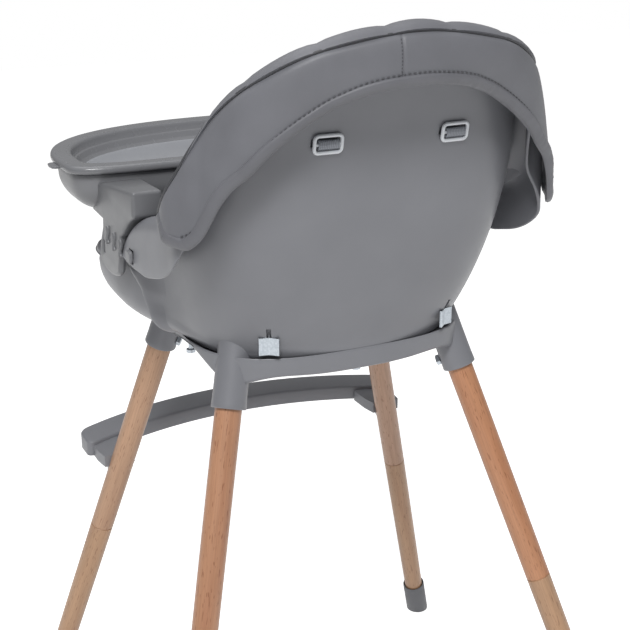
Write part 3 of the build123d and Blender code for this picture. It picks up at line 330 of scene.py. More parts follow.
def tube(path, radius, segments=12, closed=False):
    rings = []
    count = len(path)
    up = None
    for i, point in enumerate(path):
        before = path[i - 1] if (i > 0 or closed) else path[0]
        after = path[(i + 1) % count] if (i < count - 1 or closed) else path[-1]
        along = (Vector(after) - Vector(before)).normalized()
        if up is None:
            up = frame_axes(along)[1]
        up = (up - along * up.dot(along)).normalized()
        rings.append(circle(Vector(point), up, along.cross(up), radius, segments))
    return loft(rings, closed=closed)


def ribbon(path, across, width, thick):
    # Strap along a path; its flat side follows the path and the given cross direction.
    rings = []
    for i, point in enumerate(path):
        along = (Vector(path[min(i + 1, len(path) - 1)]) - Vector(path[max(i - 1, 0)])).normalized()
        wide = (across - along * across.dot(along)).normalized()
        face = along.cross(wide)
        half_width, half_thick = wide * (width / 2), face * (thick / 2)
        rings.append([Vector(point) + half_width * a + half_thick * b for a, b in STRAP_SECTION])
    return loft(rings)


def back_y(x, z):
    low, high = 0.0, 89.0
    for step in range(40):
        angle = (low + high) / 2
        if wall_radius(angle, z) * sin(radians(angle)) < x:
            low = angle
        else:
            high = angle
    return wall_radius(angle, z) * cos(radians(angle))


def back_normal(x, z):
    across = (back_y(x + 1, z) - back_y(x - 1, z)) / 2
    up = (back_y(x, z + 1) - back_y(x, z - 1)) / 2
    return Vector((-across, 1, -up)).normalized()


def lap_normal(side):
    normal = back_normal(LAP_X, LAP_Z)
    return Vector((side * normal.x, normal.y, 0)).normalized()


# Materials
class Graph:
    # A node tree, with short ways to add nodes to it and to feed its main shader.
    def __init__(self, tree, shader):
        self.nodes = tree.nodes
        self.links = tree.links
        self.shader = tree.nodes[shader]

    def set(self, socket, value):
        self.shader.inputs[socket].default_value = value

    def feed(self, socket, output):
        self.links.new(output, self.shader.inputs[socket])

    def add(self, kind, vector=None, **values):
        node = self.nodes.new("ShaderNode" + kind)
        for name, value in values.items():
            node.inputs[name].default_value = value
        if vector:
            self.links.new(vector, node.inputs["Vector"])
        return node

    def attribute(self, name):
        node = self.add("Attribute")
        node.attribute_name = name
        return node.outputs["Vector"]

    def noise(self, vector, scale, detail=3.0, stretch=None):
        if stretch:
            vector = self.add("Mapping", vector, Scale=stretch).outputs["Vector"]
        return self.add("TexNoise", vector, Scale=scale, Detail=detail).outputs["Fac"]

    def ramp(self, value, stops):
        node = self.add("ValToRGB")
        elements = node.color_ramp.elements
        while len(elements) < len(stops):
            elements.new(0.5)
        for element, (place, color) in zip(elements, stops):
            element.position = place
            element.color = (*color, 1)
        self.links.new(value, node.inputs["Fac"])
        return node.outputs["Color"]

    def bump(self, height, strength, distance, before=None):
        node = self.add("Bump", Strength=strength, Distance=distance)
        self.links.new(height, node.inputs["Height"])
        if before:
            self.links.new(before, node.inputs["Normal"])
        self.feed("Normal", node.outputs["Normal"])
        return node.outputs["Normal"]

    def span(self, value, low, high):
        node = self.add("MapRange")
        node.inputs["To Min"].default_value = low
        node.inputs["To Max"].default_value = high
        self.links.new(value, node.inputs["Value"])
        return node.outputs["Result"]

    def seen_directly(self, other_ray):
        # 1 for camera rays and one more kind of ray, 0 for the rest.
        paths = self.add("LightPath")
        node = self.add("Math")
        node.operation = "MAXIMUM"
        self.links.new(paths.outputs["Is Camera Ray"], node.inputs[0])
        self.links.new(paths.outputs[other_ray], node.inputs[1])
        return node.outputs["Value"]


def new_material(name, color, roughness):
    material = bpy.data.materials.new(name)
    material.use_nodes = True
    look = Graph(material.node_tree, "Principled BSDF")
    look.set("Base Color", (*color, 1))
    look.set("Roughness", roughness)
    return material, look


def tint(color, factor):
    return tuple(min(c * factor, 1.0) for c in color)


def plastic(name, color, roughness, grain=0.06):
    material, look = new_material(name, color, roughness)
    place = look.add("TexCoord").outputs["Object"]
    cloud = look.noise(place, 14.0, 4.0)
    look.feed("Base Color", look.ramp(cloud, [(0.3, tint(color, 0.96)), (0.7, tint(color, 1.04))]))
    look.bump(look.noise(place, 1500.0, 2.0), grain, 0.0004)
    wear = look.noise(place, 60.0, 5.0)
    look.feed("Roughness", look.span(wear, roughness - 0.05, roughness + 0.06))
    return material


def leather(name, color):
    material, look = new_material(name, color, 0.5)
    place = look.add("TexCoord").outputs["Object"]
    cloud = look.noise(place, 22.0, 5.0)
    look.feed("Base Color", look.ramp(cloud, [(0.3, tint(color, 0.93)), (0.7, tint(color, 1.06))]))
    cells = look.add("TexVoronoi", place, Scale=780.0)
    cells.feature = "DISTANCE_TO_EDGE"
    first = look.bump(cells.outputs["Distance"], 0.16, 0.0006)
    look.bump(look.noise(place, 1900.0), 0.1, 0.0004, first)
    look.feed("Roughness", look.span(look.noise(place, 300.0), 0.44, 0.58))
    look.set("Sheen Weight", 0.08)
    return material


def wood(name, light, dark):
    material, look = new_material(name, light, 0.42)
    place = look.attribute("grain")
    figure = look.noise(place, 1.0, 4.0, (62.0, 62.0, 3.2))
    tone = look.ramp(figure, [(0.28, dark), (0.5, tint(light, 0.94)), (0.72, tint(light, 1.06))])
    fibre = look.noise(place, 1.0, 3.0, (900.0, 900.0, 24.0))
    fibre_tone = look.ramp(fibre, [(0.35, (0.84, 0.82, 0.80)), (0.62, (1.0, 1.0, 1.0))])
    fleck = look.noise(place, 1.0, 1.0, (620.0, 620.0, 95.0))
    fleck_tone = look.ramp(fleck, [(0.30, (0.62, 0.52, 0.46)), (0.37, (1.0, 1.0, 1.0))])
    for layer in (fibre_tone, fleck_tone):
        mix = look.add("Mix")
        mix.data_type = "RGBA"
        mix.blend_type = "MULTIPLY"
        mix.inputs["Factor"].default_value = 0.8
        look.links.new(tone, mix.inputs["A"])
        look.links.new(layer, mix.inputs["B"])
        tone = mix.outputs["Result"]
    look.feed("Base Color", tone)
    look.bump(fibre, 0.08, 0.0004)
    look.set("Coat Weight", 0.08)
    look.set("Coat Roughness", 0.3)
    return material


def zinc(name):
    material, look = new_material(name, (0.52, 0.56, 0.6), 0.42)
    look.set("Metallic", 1.0)
    place = look.add("TexCoord").outputs["Object"]
    spangle = look.add("TexVoronoi", place, Scale=420.0)
    stops = [(0.0, (0.55, 0.59, 0.63)), (1.0, (0.4, 0.44, 0.48))]
    look.feed("Base Color", look.ramp(spangle.outputs["Distance"], stops))
    look.bump(look.noise(place, 900.0), 0.1, 0.0003)
    return material


def webbing(name, color):
    material, look = new_material(name, color, 0.72)
    place = look.attribute("weave")
    ribs = look.add("TexWave", place, Scale=170.0, Distortion=0.6).outputs["Fac"]
    picks = look.add("TexWave", place, Scale=120.0)
    picks.bands_direction = "Y"
    look.feed("Base Color", look.ramp(ribs, [(0.0, tint(color, 0.7)), (1.0, tint(color, 1.15))]))
    first = look.bump(ribs, 0.5, 0.0006)
    look.bump(picks.outputs["Fac"], 0.4, 0.0005, first)
    return material


GREY = plastic("grey_plastic", (0.22, 0.224, 0.244), 0.40)
ARM_GREY = plastic("tray_hull_plastic", (0.205, 0.208, 0.22), 0.36)
# Tray arm blocks and teeth: the hull's grey plastic, darkened to paint shade on the arm sides that face
# the light.
ARM_PAINTED_SHADE = plastic("tray_arm_plastic_painted_shade", (0.165, 0.168, 0.178), 0.36)
TRAY_GREY = plastic("tray_plastic", (0.19, 0.193, 0.205), 0.26, 0.03)
# Tray dish floor: the dish's plastic made lighter to paint the white reflection on its glossy floor.
TRAY_FLOOR_PAINTED_REFLECTION = plastic("tray_floor_plastic_painted_reflection", (0.32, 0.33, 0.355), 0.22, 0.03)
LEATHER = leather("grey_leather", (0.165, 0.168, 0.186))
BINDING = leather("binding_leather", (0.15, 0.152, 0.168))
# Piping cord: darker leather than the flap, coloured near black so that it also paints the shade of the
# seam groove it lies in.
PIPING_AND_GROOVE_SHADE = leather("piping_leather_and_groove_shade", (0.055, 0.056, 0.062))
THREAD = plastic("stitch_thread", (0.075, 0.077, 0.085), 0.6)
CAP = plastic("cap_rubber", (0.15, 0.153, 0.165), 0.55, 0.15)
WHITE = plastic("white_plastic", (0.86, 0.89, 0.93), 0.35, 0.03)
DARK = plastic("dark_plastic", (0.1, 0.101, 0.11), 0.42)
RELEASE = plastic("release_plastic", (0.16, 0.163, 0.18), 0.4)
ZINC = zinc("zinc_plate")
STRAP = webbing("grey_webbing", (0.15, 0.154, 0.17))
# Webbing through the strap slides: the same grey webbing as the straps, made lighter to paint its
# highlight.
SLIDE_WEBBING_PAINTED_HIGHLIGHT = webbing("webbing_painted_highlight", (0.34, 0.36, 0.4))
# Beech for each upper leg: the tones differ partly as the wood's own variation and partly as painted
# light; the front-right and rear-right legs are made lighter to offset the shade they fall in.
LEG_WOOD_AND_PAINTED_LIGHT = {
    "rear_left": wood("beech_rear_left", (0.55, 0.285, 0.165), (0.44, 0.205, 0.115)),
    "rear_right": wood("beech_rear_right_painted_light", (0.62, 0.3, 0.16), (0.49, 0.215, 0.105)),
    "front_left": wood("beech_front_left", (0.56, 0.34, 0.215), (0.45, 0.25, 0.15)),
    "front_right": wood("beech_front_right_painted_light", (0.6, 0.375, 0.26), (0.48, 0.28, 0.18)),
}
LOWER_WOOD = wood("beech_lower", (0.53, 0.32, 0.19), (0.42, 0.225, 0.125))


# Legs and foot caps
def leg_line(side, foot_y, socket_y):
    foot = Vector((side * FOOT_X, foot_y, 0))
    mouth = Vector((side * SOCKET_X, socket_y, MOUTH_Z))
    return foot, (mouth - foot).normalized(), (mouth - foot).length


def leg_radius(share):
    seam = SEAM_Z / MOUTH_Z
    if share < seam:
        return (LEG_FOOT + (LEG_SEAM - LEG_FOOT) * share / seam) / 2
    return (LEG_SEAM + (LEG_TOP - LEG_SEAM) * min((share - seam) / (1 - seam), 1.0)) / 2


def set_grain(thing, origin, along, seed):
    along, side, up = frame_axes(along)
    layer = thing.data.attributes.new("grain", "FLOAT_VECTOR", "POINT")
    values = []
    for vertex in thing.data.vertices:
        place = vertex.co - Vector(origin) * MM
        values += [place.dot(side) + seed * 0.37, place.dot(up) + seed * 0.21, place.dot(along) + seed]
    layer.data.foreach_set("vector", values)


def leg_profile(start, end, mouth):
    rows = [(start, leg_radius(start / mouth) - 0.8), (start + 0.7, leg_radius((start + 0.7) / mouth))]
    for share in np.linspace(0, 1, 14)[1:-1]:
        s = start + (end - start) * share
        rows.append((s, leg_radius(s / mouth)))
    rows += [(end - 0.7, leg_radius((end - 0.7) / mouth)), (end, leg_radius(end / mouth) - 0.8)]
    return rows


for number, (corner, side, foot_y, socket_y) in enumerate(CORNERS):
    foot, along, length = leg_line(side, foot_y, socket_y)
    seam = length * SEAM_Z / MOUTH_Z
    upper_mesh = lathe(foot, along, leg_profile(seam + 0.05, length + 39.5, length))
    upper = make_object("leg_upper_" + corner, upper_mesh, LEG_WOOD_AND_PAINTED_LIGHT[corner])
    set_grain(upper, foot, along, 1.3 * number + 0.2)
    settle(upper, stands_for=["upper_leg_" + corner])
    lower_mesh = lathe(foot, along, leg_profile(10.2, seam - 0.05, length))
    lower = make_object("leg_lower_" + corner, lower_mesh, LOWER_WOOD)
    set_grain(lower, foot, along, 1.3 * number + 7.1)
    settle(lower, stands_for=["lower_leg_" + corner])

    axis, across, up = frame_axes(along)
    rings = []
    bore = leg_radius(CAP_HEIGHT / length) + 1.3
    cap_rows = [(15.0, None), (CAP_RADIUS, 1.0), (CAP_RADIUS, 30.0), (CAP_RADIUS, 55.2), (15.3, 56.6)]
    cap_rows += [(14.9, CAP_HEIGHT), (14.4, 56.8), (bore, 56.0), (bore, 49.0), (bore - 1.2, 48.0)]
    for radius, s in cap_rows:
        ring = []
        for spoke in circle(Vector((0, 0, 0)), across, up, radius, 56):
            rise = -spoke.z / axis.z
            if s is not None:
                rise = max(s, rise + s) if s < 2 else s
            ring.append(foot + spoke + axis * rise)
        rings.append(ring)
    settle(make_object("cap_" + corner, loft(rings), CAP), stands_for=["foot_cap_" + corner])


# Base frame: apron ring and four sockets
def shell_under(x, y):
    # Height of the underside of the seat shell above a point.
    phi = abs(degrees(atan2(x, y)))
    radius = hypot(x, y)
    corner = station(RIM, 4, phi)
    edge = wall_radius(phi, BOTTOM + corner)
    flat = edge - corner
    if radius <= flat:
        return BOTTOM
    if radius >= edge:
        return BOTTOM + corner
    return BOTTOM + corner - sqrt(corner**2 - (radius - flat) ** 2)


def ring_section(theta):
    turn = radians(theta)
    depth = RING_REAR if cos(turn) > 0 else RING_FRONT
    outer = oval_radius(theta, RING_HALF_WIDTH, depth, 3.2) + 1.2
    drop = 0.0
    for corner, side, foot_y, socket_y in CORNERS:
        socket_turn = degrees(atan2(side * 136.0, socket_y * 0.93 - BASE_Y))
        away = abs((theta - socket_turn + 180) % 360 - 180)
        drop = max(drop, 18.0 * exp(-((away / (12.0 if socket_y > 0 else 9.0)) ** 2)))
    low = RING_LOW + 21.0 * abs(sin(turn)) ** 3 - drop
    lip = min(RING_LIP, shell_under(outer * sin(turn), BASE_Y + outer * cos(turn)) - 0.3)
    section = [(outer - 33, BOTTOM - 0.2), (outer - 33, low + 3)]
    section += [(outer - 31.5, low + 0.8), (outer - 29, low)]
    section += [(outer - 4.5, low), (outer - 1.8, low + 0.7), (outer - 0.4, low + 2.4), (outer, low + 5)]
    section += [(outer, lip - 4), (outer, lip - 2), (outer - 0.25, lip - 0.8), (outer - 0.9, lip - 0.15)]
    section += [(outer - 1.6, min(lip - 0.4, 605.0)), (outer - 9, BOTTOM - 0.2)]
    return [(r * sin(turn), BASE_Y + r * cos(turn), z) for r, z in section]


def bucket_radius(phi, z):
    # Outer radius of the bucket, with its rounded corner at the floor.
    corner = station(RIM, 4, abs(phi))
    low = BOTTOM + corner
    if z >= low:
        return wall_radius(phi, z)
    return wall_radius(phi, low) - corner + sqrt(max(corner**2 - (low - z) ** 2, 0.0))


def tuck_into_shell(point):
    # Points that would reach into the bucket stay inside the wall instead.
    if point.z <= BOTTOM:
        return point
    radius = hypot(point.x, point.y)
    limit = bucket_radius(degrees(atan2(point.x, point.y)), point.z) - 1.6
    if radius >= limit:
        return point
    return Vector((point.x * limit / radius, point.y * limit / radius, point.z))


def socket_mesh(side, foot_y, socket_y):
    foot, along, length = leg_line(side, foot_y, socket_y)
    axis, across, up = frame_axes(along)
    mouth = [(6, 14.7), (0.4, 14.7), (0, 15.2), (0, 18.2), (0.4, 18.8), (1.4, 19.0), (5, 18.8)]
    mouth += [(12, 18.55), (30, SOCKET_RADIUS)] + [(s, SOCKET_RADIUS) for s in np.linspace(36, 100, 26)]
    rings = []
    for s, radius in mouth:
        ring = circle(foot + axis * (length + s), across, up, radius, 72)
        rings.append([tuck_into_shell(point) for point in ring])
    return loft(rings)


def shell_surface(phi, z):
    radius = bucket_radius(phi, z)
    return Vector((radius * sin(radians(phi)), radius * cos(radians(phi)), z))


def fin_mesh(side):
    # Buttress under the armrest: steep on the front side, running out smoothly towards the back.
    rows = []
    for z in np.linspace(FIN_LOW, FIN_TOP, 30):
        heights = [FIN_LOW, 628, 642, 656, 663, 670, FIN_TOP]
        front_edge = np.interp(z, heights, [91, 91.6, 93.3, 95.5, 98.5, 102, 108])
        rear_edge = np.interp(z, [FIN_LOW, 642, 655, 663, 671, FIN_TOP], [85, 84, 80, 79, 78.5, 77])
        front = []
        back = []
        for share in np.linspace(0, 1, 18):
            place = shell_surface(side * (rear_edge + (front_edge - rear_edge) * share), z)
            outward = Vector((place.x, place.y, 0)).normalized()
            height = 8.5 * ease(share / 0.75) * (1 - ease((share - 0.8) / 0.2)) - 0.6
            front.append(place + outward * height)
            back.append(place - outward * 1.6)
        rows.append(front + back[::-1])
    return loft(rows)


parts = [loft([ring_section(theta) for theta in np.arange(0, 360, 2.5)], closed=True)]
for corner, side, foot_y, socket_y in CORNERS:
    parts.append(socket_mesh(side, foot_y, socket_y))
for name, side in SIDES:
    parts.append(fin_mesh(side))
settle(make_object("base_ring", join(*parts), GREY, 50), stands_for=["base_frame"])


# Seat shell
def shell_loop(phi):
    angle = abs(phi)
    rim, gap, top, inner = rim_profile(angle)
    corner = station(RIM, 4, angle)
    skirt_z = min(rim - station(RIM, 3, angle), top - 1.0)
    low = BOTTOM + corner
    flat = wall_radius(angle, low) - corner
    middle = inner + gap / 2
    outer = inner + gap
    heights = np.linspace(low, top, 24)
    loop = [(20.0, BOTTOM)] + arc(flat, low, corner, -90, 0, 9)
    loop += [(wall_radius(angle, z), z) for z in heights[1:]]
    loop += arc(middle, top, gap / 2, 180, 0, 10)[1:]
    for share in (0.2, 0.4, 0.6, 0.8):
        loop.append((outer + DRAFT * share, top + (skirt_z - top) * share))
    loop += arc(outer + DRAFT + WALL / 2, skirt_z + 1.2, WALL / 2, 180, 360, 8)
    for share in (0.8, 0.6, 0.4, 0.2):
        loop.append((outer + WALL + DRAFT * share, top + (skirt_z - top) * share))
    loop += arc(middle, top, gap / 2 + WALL, 0, 180, 14)
    loop += [(wall_radius(angle, z) - WALL, z) for z in heights[::-1][1:]]
    loop += arc(flat, low, corner - WALL, 0, -90, 9)[1:] + [(20.0, BOTTOM + WALL)]
    return loop


angle_runs = ((0, 180.1, 2.5), (40, 66, 1.0), (78, 106, 1.0), (90.4, 93.2, 0.2))
angles = sorted({angle for steps in angle_runs for angle in np.arange(*steps)})
full_turn = [-a for a in reversed(angles[1:-1])] + angles
shell_mesh = join(
    loft([around(phi, shell_loop(phi)) for phi in full_turn], closed=True),
    lathe((0, 0, BOTTOM - 3), Z, [(0, 57), (0.6, 59.4), (1.6, 60), (7, 60), (8, 59)]),
)
shell = make_object("shell", shell_mesh, GREY, 50)
for name, side in SIDES:
    slot_y = back_y(SHOULDER_X, SHOULDER_Z)
    cut(shell, box_mesh((side * SHOULDER_X, slot_y, SHOULDER_Z + 1), (34, 50, 8)))
    lap = lap_normal(side)
    lap_place = Vector((side * LAP_X, back_y(LAP_X, LAP_Z), LAP_Z + 8)) + lap * 2
    cut(shell, box_mesh(lap_place, (5, 30, 22), ((lap.y, -lap.x, 0), lap, Z)))
    cut(shell, box_mesh((side * ARMREST_X, BUTTON_Y, BUTTON_Z), (16, 15.6, 15.6)))
settle(shell, stands_for=["seat_shell"])


# Padded liner
def channel(phi):
    # 1 on a quilt crest, 0 on a stitched valley.
    return abs(cos(radians(phi * 12)))


def liner_loop(phi):
    angle = abs(phi)
    gap, top, inner = rim_profile(angle)[1:]
    skin = WALL + GAP
    corner = station(RIM, 4, angle)
    low = BOTTOM + corner
    flat = wall_radius(angle, low) - corner
    front = ease((angle - 66) / 22)
    thick = (6.5 + 4.5 * channel(angle) ** 0.6) * (1 - front) + 9.0 * front
    foot = SEAT_Z + 20
    end = top - 1.0 if angle <= WING_END else top - min(6.0, (top - low) * 0.2)
    inner_foot = wall_radius(angle, foot) - skin - thick
    loop = [(inner_foot - 30, SEAT_Z - 7)] + arc(inner_foot - 20, foot, 20, -90, 0, 8)
    heights = np.linspace(foot, end, 36)
    loop += [(wall_radius(angle, z) - skin - thick, z) for z in heights[1:]]
    under = gap / 2 + skin
    middle = inner + gap / 2
    if angle <= WING_END:
        fade = ease((angle - 50) / 7)
        crown = (5.0 + 2.8 * channel(angle) ** 0.7) * (1 - 0.5 * fade)
        for turn in np.linspace(180, PIPING_TURN + 4, 22):
            weight = ease((turn - 100) / 80)
            over = under + thick * weight + crown * (1 - weight)
            loop.append((middle + over * cos(radians(turn)), top + over * sin(radians(turn))))
        loop += arc(middle, top, under + 2.5, PIPING_TURN + 2, PIPING_TURN + 1, 2)
        loop += arc(middle, top, under, PIPING_TURN + 3, 180, 9)
    else:
        edge = wall_radius(angle, end) - skin
        loop += arc(edge - thick / 2, end, thick / 2, 180, 6, 22)
        loop += [(edge, end - 0.3), (edge, end - 0.6)]
        loop += [(wall_radius(angle, end - 0.7 - 0.15 * i) - skin, end - 0.7 - 0.15 * i) for i in range(9)]
    heights = np.linspace(end - 3, low, 12)
    loop += [(wall_radius(angle, z) - skin, z) for z in heights]
    loop += arc(flat, low, corner - skin, 0, -90, 5)[1:] + [(inner_foot - 30, BOTTOM + WALL + 2)]
    return loop


liner_angles = list(np.arange(0, 56, 1.875)) + [WING_END, WING_END + 1.2]
liner_angles += list(np.arange(60, 180.1, 2.5))
liner_turn = [-a for a in reversed(liner_angles[1:-1])] + liner_angles
liner_rings = [around(phi, liner_loop(phi)) for phi in liner_turn]


def seat_pad_mesh():
    # Crowned seat cushion with three sewn channels across it.
    rows = [(1.0, -9.0), (1.012, -5.0), (1.0, -1.5), (0.97, 0.6)]
    rows += [(share, 1.6 + 2.0 * (1 - share**2)) for share in np.linspace(0.93, 0.04, 30)]
    loops = []
    for share, rise in rows:
        loop = []
        for phi in np.arange(-180, 180, 3.0):
            reach = (wall_radius(phi, SEAT_Z + 4) - 24.0) * share
            x = reach * sin(radians(phi))
            y = reach * cos(radians(phi))
            z = SEAT_Z + rise
            if rise > 0:
                for line in (-78.0, 0.0, 78.0):
                    z -= 2.6 * exp(-(((y - 22 - line) / 5.0) ** 2)) * ease((0.97 - share) / 0.08)
            loop.append((x, y, z))
        loops.append(loop)
    return loft(loops)


liner = make_object("liner", loft(liner_rings, closed=True), LEATHER, 60)


def inflate(thing, pinned, pressure, cap):
    # Cloth swells between the sewn lines; no point moves further than the cap.
    start = np.array([vertex.co[:] for vertex in thing.data.vertices])
    group = thing.vertex_groups.new(name="sewn")
    group.add([int(i) for i in pinned], 1.0, "REPLACE")
    cloth = thing.modifiers.new("swell", "CLOTH")
    settings = cloth.settings
    settings.vertex_group_mass = "sewn"
    settings.use_pressure = True
    settings.uniform_pressure_force = pressure
    settings.effector_weights.gravity = 0.0
    settings.quality = 5
    settings.tension_stiffness = 20
    settings.compression_stiffness = 12
    settings.bending_stiffness = 0.6
    cloth.collision_settings.use_collision = False
    cloth.point_cache.frame_start = 1
    cloth.point_cache.frame_end = 20
    scene = bpy.context.scene
    for step in range(1, 21):
        scene.frame_set(step)
    depsgraph = bpy.context.evaluated_depsgraph_get()
    shape = thing.evaluated_get(depsgraph).to_mesh()
    moved = np.array([vertex.co[:] for vertex in shape.vertices])
    thing.modifiers.remove(cloth)
    thing.vertex_groups.clear()
    scene.frame_set(1)
    shift = moved - start
    far = np.linalg.norm(shift, axis=1, keepdims=True)
    shift *= np.minimum(1.0, cap * MM / np.maximum(far, 1e-9))
    thing.data.vertices.foreach_set("co", (start + shift).astype(np.float32).ravel())
    thing.data.update()


# Rows of a liner loop from the seat up to the piping: foot, wall and crown.
rows_front = 9 + 35 + 22
rows_total = len(liner_rings[0])
pinned = []
for column, phi in enumerate(liner_turn):
    sewn = channel(phi) < 0.12 and abs(phi) < 70
    for row in range(rows_total):
        back = row >= rows_front - 1 or row < 2
        if sewn or back or abs(phi) > 86:
            pinned.append(column * rows_total + row)
inflate(liner, pinned, 4.0, 6.0)
pad = make_object("seat_pad", seat_pad_mesh(), LEATHER, 60)
cut(pad, box_mesh((0, CROTCH_Y, SEAT_Z), (30, 5, 40)))
settle(liner, stands_for=["seat_liner"])
settle(pad, stands_for=["seat_liner"])


# Flap over the rim, its binding, piping and stitches
def flap_point(phi, share, lift=0.0):
    # Point on the outside of the flap: share 0 at the piping, 1 at the hem.
    # Towards the wings it stands off the shell.
    angle = min(abs(phi), WING_END)
    gap, top, inner = rim_profile(angle)[1:]
    over = gap / 2 + WALL + GAP + FLAP_THICK
    away = 8.0 * ease((angle - 51) / 4)
    start_r = inner + gap / 2 + over * cos(radians(PIPING_TURN)) + away
    start_z = top + over * sin(radians(PIPING_TURN))
    wing = ease((angle - 38) / 16)
    inside = min(max(share, 0.0), 1.0)
    shoulder = 3.0 * (1 - wing) * sin(pi * inside**0.6) + 2.5 * sin(pi * inside) ** 0.7
    radius = start_r + (station(HEM, 1, angle) - start_r) * share + shoulder + lift
    z = start_z + (station(HEM, 2, angle) - start_z) * share
    turned = radians(phi + (1 if phi > 0 else -1) * wing * 4.0 * (0.2 - inside))
    return Vector((radius * sin(turned), radius * cos(turned), z))


def hem_share(angle):
    # The hem rises in a round corner at each wing's end.
    past = min(max(angle - WING_END + WING_ROUND, 0.0) / WING_ROUND, 1.0)
    return HEM_CORNER + HEM_RISE * sqrt(1 - past * past)


def flap_loop(phi):
    angle = abs(phi)
    last = hem_share(angle)
    seam = -1.3 * exp(-(((angle - SEAM_AT) * 4.0 / 1.1) ** 2)) if phi > 0 else 0.0
    end = ease((WING_END - angle) / 1.6)
    loop = []
    for share in np.linspace(0, 1, 30):
        edge = -2.6 * exp(-((share / 0.035) ** 2)) - 1.5 * exp(-(((1 - share) / 0.03) ** 2))
        loop.append(flap_point(phi, share * last, seam + edge * end - 2.0 * (1 - end)))
    for share in (1.0, 0.8, 0.6, 0.4, 0.25, 0.12, 0.05, 0.0):
        loop.append(flap_point(phi, share * last, -FLAP_THICK + 1.2))
    return loop


wing_steps = (4.4, 3.2, 2.4, 1.7, 1.2, 0.8, 0.4, 0.15, 0.04, 0)
flap_angles = list(np.arange(0, WING_END - 1.5, 1.25)) + [WING_END - step for step in wing_steps]
flap_angles = sorted(set(flap_angles))
flap_turn = [-a for a in reversed(flap_angles[1:])] + flap_angles
seam_steps = (-0.8, -0.5, -0.25, -0.1, 0.0, 0.1, 0.25, 0.5, 0.8)
flap_turn = sorted(set(flap_turn + [SEAM_AT + step for step in seam_steps]))
flap = make_object("flap", loft([flap_loop(phi) for phi in flap_turn]), LEATHER, 60)
settle(flap, stands_for=["rim_flap"])


def flap_frame(phi, share, step):
    # Point on the flap's edge, the direction along the edge and the outward normal.
    place = flap_point(phi, share)
    along = (flap_point(step[0], step[1]) - place).normalized()
    over = flap_point(phi, share - 0.03) - flap_point(phi, share)
    side = flap_point(phi + 0.3, share) - flap_point(phi - 0.3, share)
    out = side.cross(over).normalized()
    if out.dot(Vector((sin(radians(phi)), cos(radians(phi)), 0))) < 0:
        out = -out
    return place, along, out


edge_run = [(WING_END, share) for share in np.arange(0.06, HEM_CORNER, 0.03)]
for turn in np.linspace(0, pi / 2, 12):
    edge_run.append((WING_END - WING_ROUND * (1 - cos(turn)), HEM_CORNER + HEM_RISE * sin(turn)))
edge_run += [(phi, 1.0) for phi in np.arange(WING_END - WING_ROUND - 0.5, 0, -0.5)]
edge_run = edge_run + [(0.0, 1.0)] + [(-phi, share) for phi, share in reversed(edge_run)]
binding_rings = []
stitch_places = []
run = 0.0
last = None
for i, (phi, share) in enumerate(edge_run):
    ahead = edge_run[i + 1] if i + 1 < len(edge_run) else edge_run[i - 1]
    point, along, out = flap_frame(phi, share, ahead)
    if i + 1 == len(edge_run):
        along = -along
    into = out.cross(along)
    if i:
        run += (point - last).length
    last = point
    gather = noise.noise(Vector((run * 0.2, 2.0, 5.0))) * 0.8
    gather += noise.noise(Vector((run * 0.5, 7.0, 1.0))) * 0.7
    slack = noise.noise(Vector((run * 0.06, 3.0, 9.0))) * 0.8
    section = [(11.5, -1.8), (11.0, 0.9), (9.5, 1.7 + gather * 0.5), (6.5, 2.2 + gather * 0.8)]
    section += [(3.0, 1.8 + gather * 0.8), (0.3, 0.6 + gather * 0.5), (-1.2, -1.6), (-0.8, -4.2)]
    section += [(3.0, -5.6), (8.0, -5.6), (11.0, -4.2)]
    binding_rings.append([point + into * (a + slack * (1 - a / 12)) + out * b for a, b in section])
    if share == 1.0:
        inset = STITCH_INSET * 0.1 / (point - flap_point(phi, 0.9)).length
        stitch_places.append((run, flap_point(phi, share - inset, 0.8), out))
settle(make_object("flap_binding", loft(binding_rings), BINDING, 60))

# The piping's near-black colour is partly painted shade of the groove between flap and liner.
piping_path = [flap_point(phi, -0.01, -1.6) for phi in np.arange(-WING_END, WING_END + 0.1, 1.0)]
settle(make_object("rim_piping", tube(piping_path, 1.5), PIPING_AND_GROOVE_SHADE))


def stitch(start, end, out, radius=0.55):
    along = (end - start).normalized()
    side = along.cross(out).normalized()
    rings = []
    for share, size in ((0.0, 0.35), (0.15, 0.9), (0.5, 1.0), (0.85, 0.9), (1.0, 0.35)):
        centre = start.lerp(end, share) + out * (0.25 * sin(pi * share))
        rings.append(circle(centre, side, out, radius * size, 6))
    return loft(rings)


stitches = []
next_run = stitch_places[0][0]
for (run, place, out), after in zip(stitch_places, stitch_places[1:]):
    run_after, place_after = after[:2]
    while next_run < run_after and run_after > run:
        start = place.lerp(place_after, (next_run - run) / (run_after - run))
        along = (place_after - place).normalized()
        stitches.append(stitch(start, start + along * STITCH_LENGTH, out))
        next_run += STITCH_PITCH
for share in np.linspace(0.08, 0.86, 13):
    start, end = [flap_point(SEAM_AT + 0.42, place, -0.3) for place in (share, share + 0.035)]
    stitches.append(stitch(start, end, Vector((0, 1, 0.1)).normalized()))
settle(make_object("flap_stitches", join(*stitches), THREAD))


# Footrest
def footrest_point(x, behind, z):
    # Bowed bar: circle through both ends and the middle.
    radius = (REST_HALF**2 + REST_BOW**2) / (2 * REST_BOW)
    y = REST_FRONT_Y + radius - sqrt(radius**2 - x**2)
    return (x, y + behind, z)


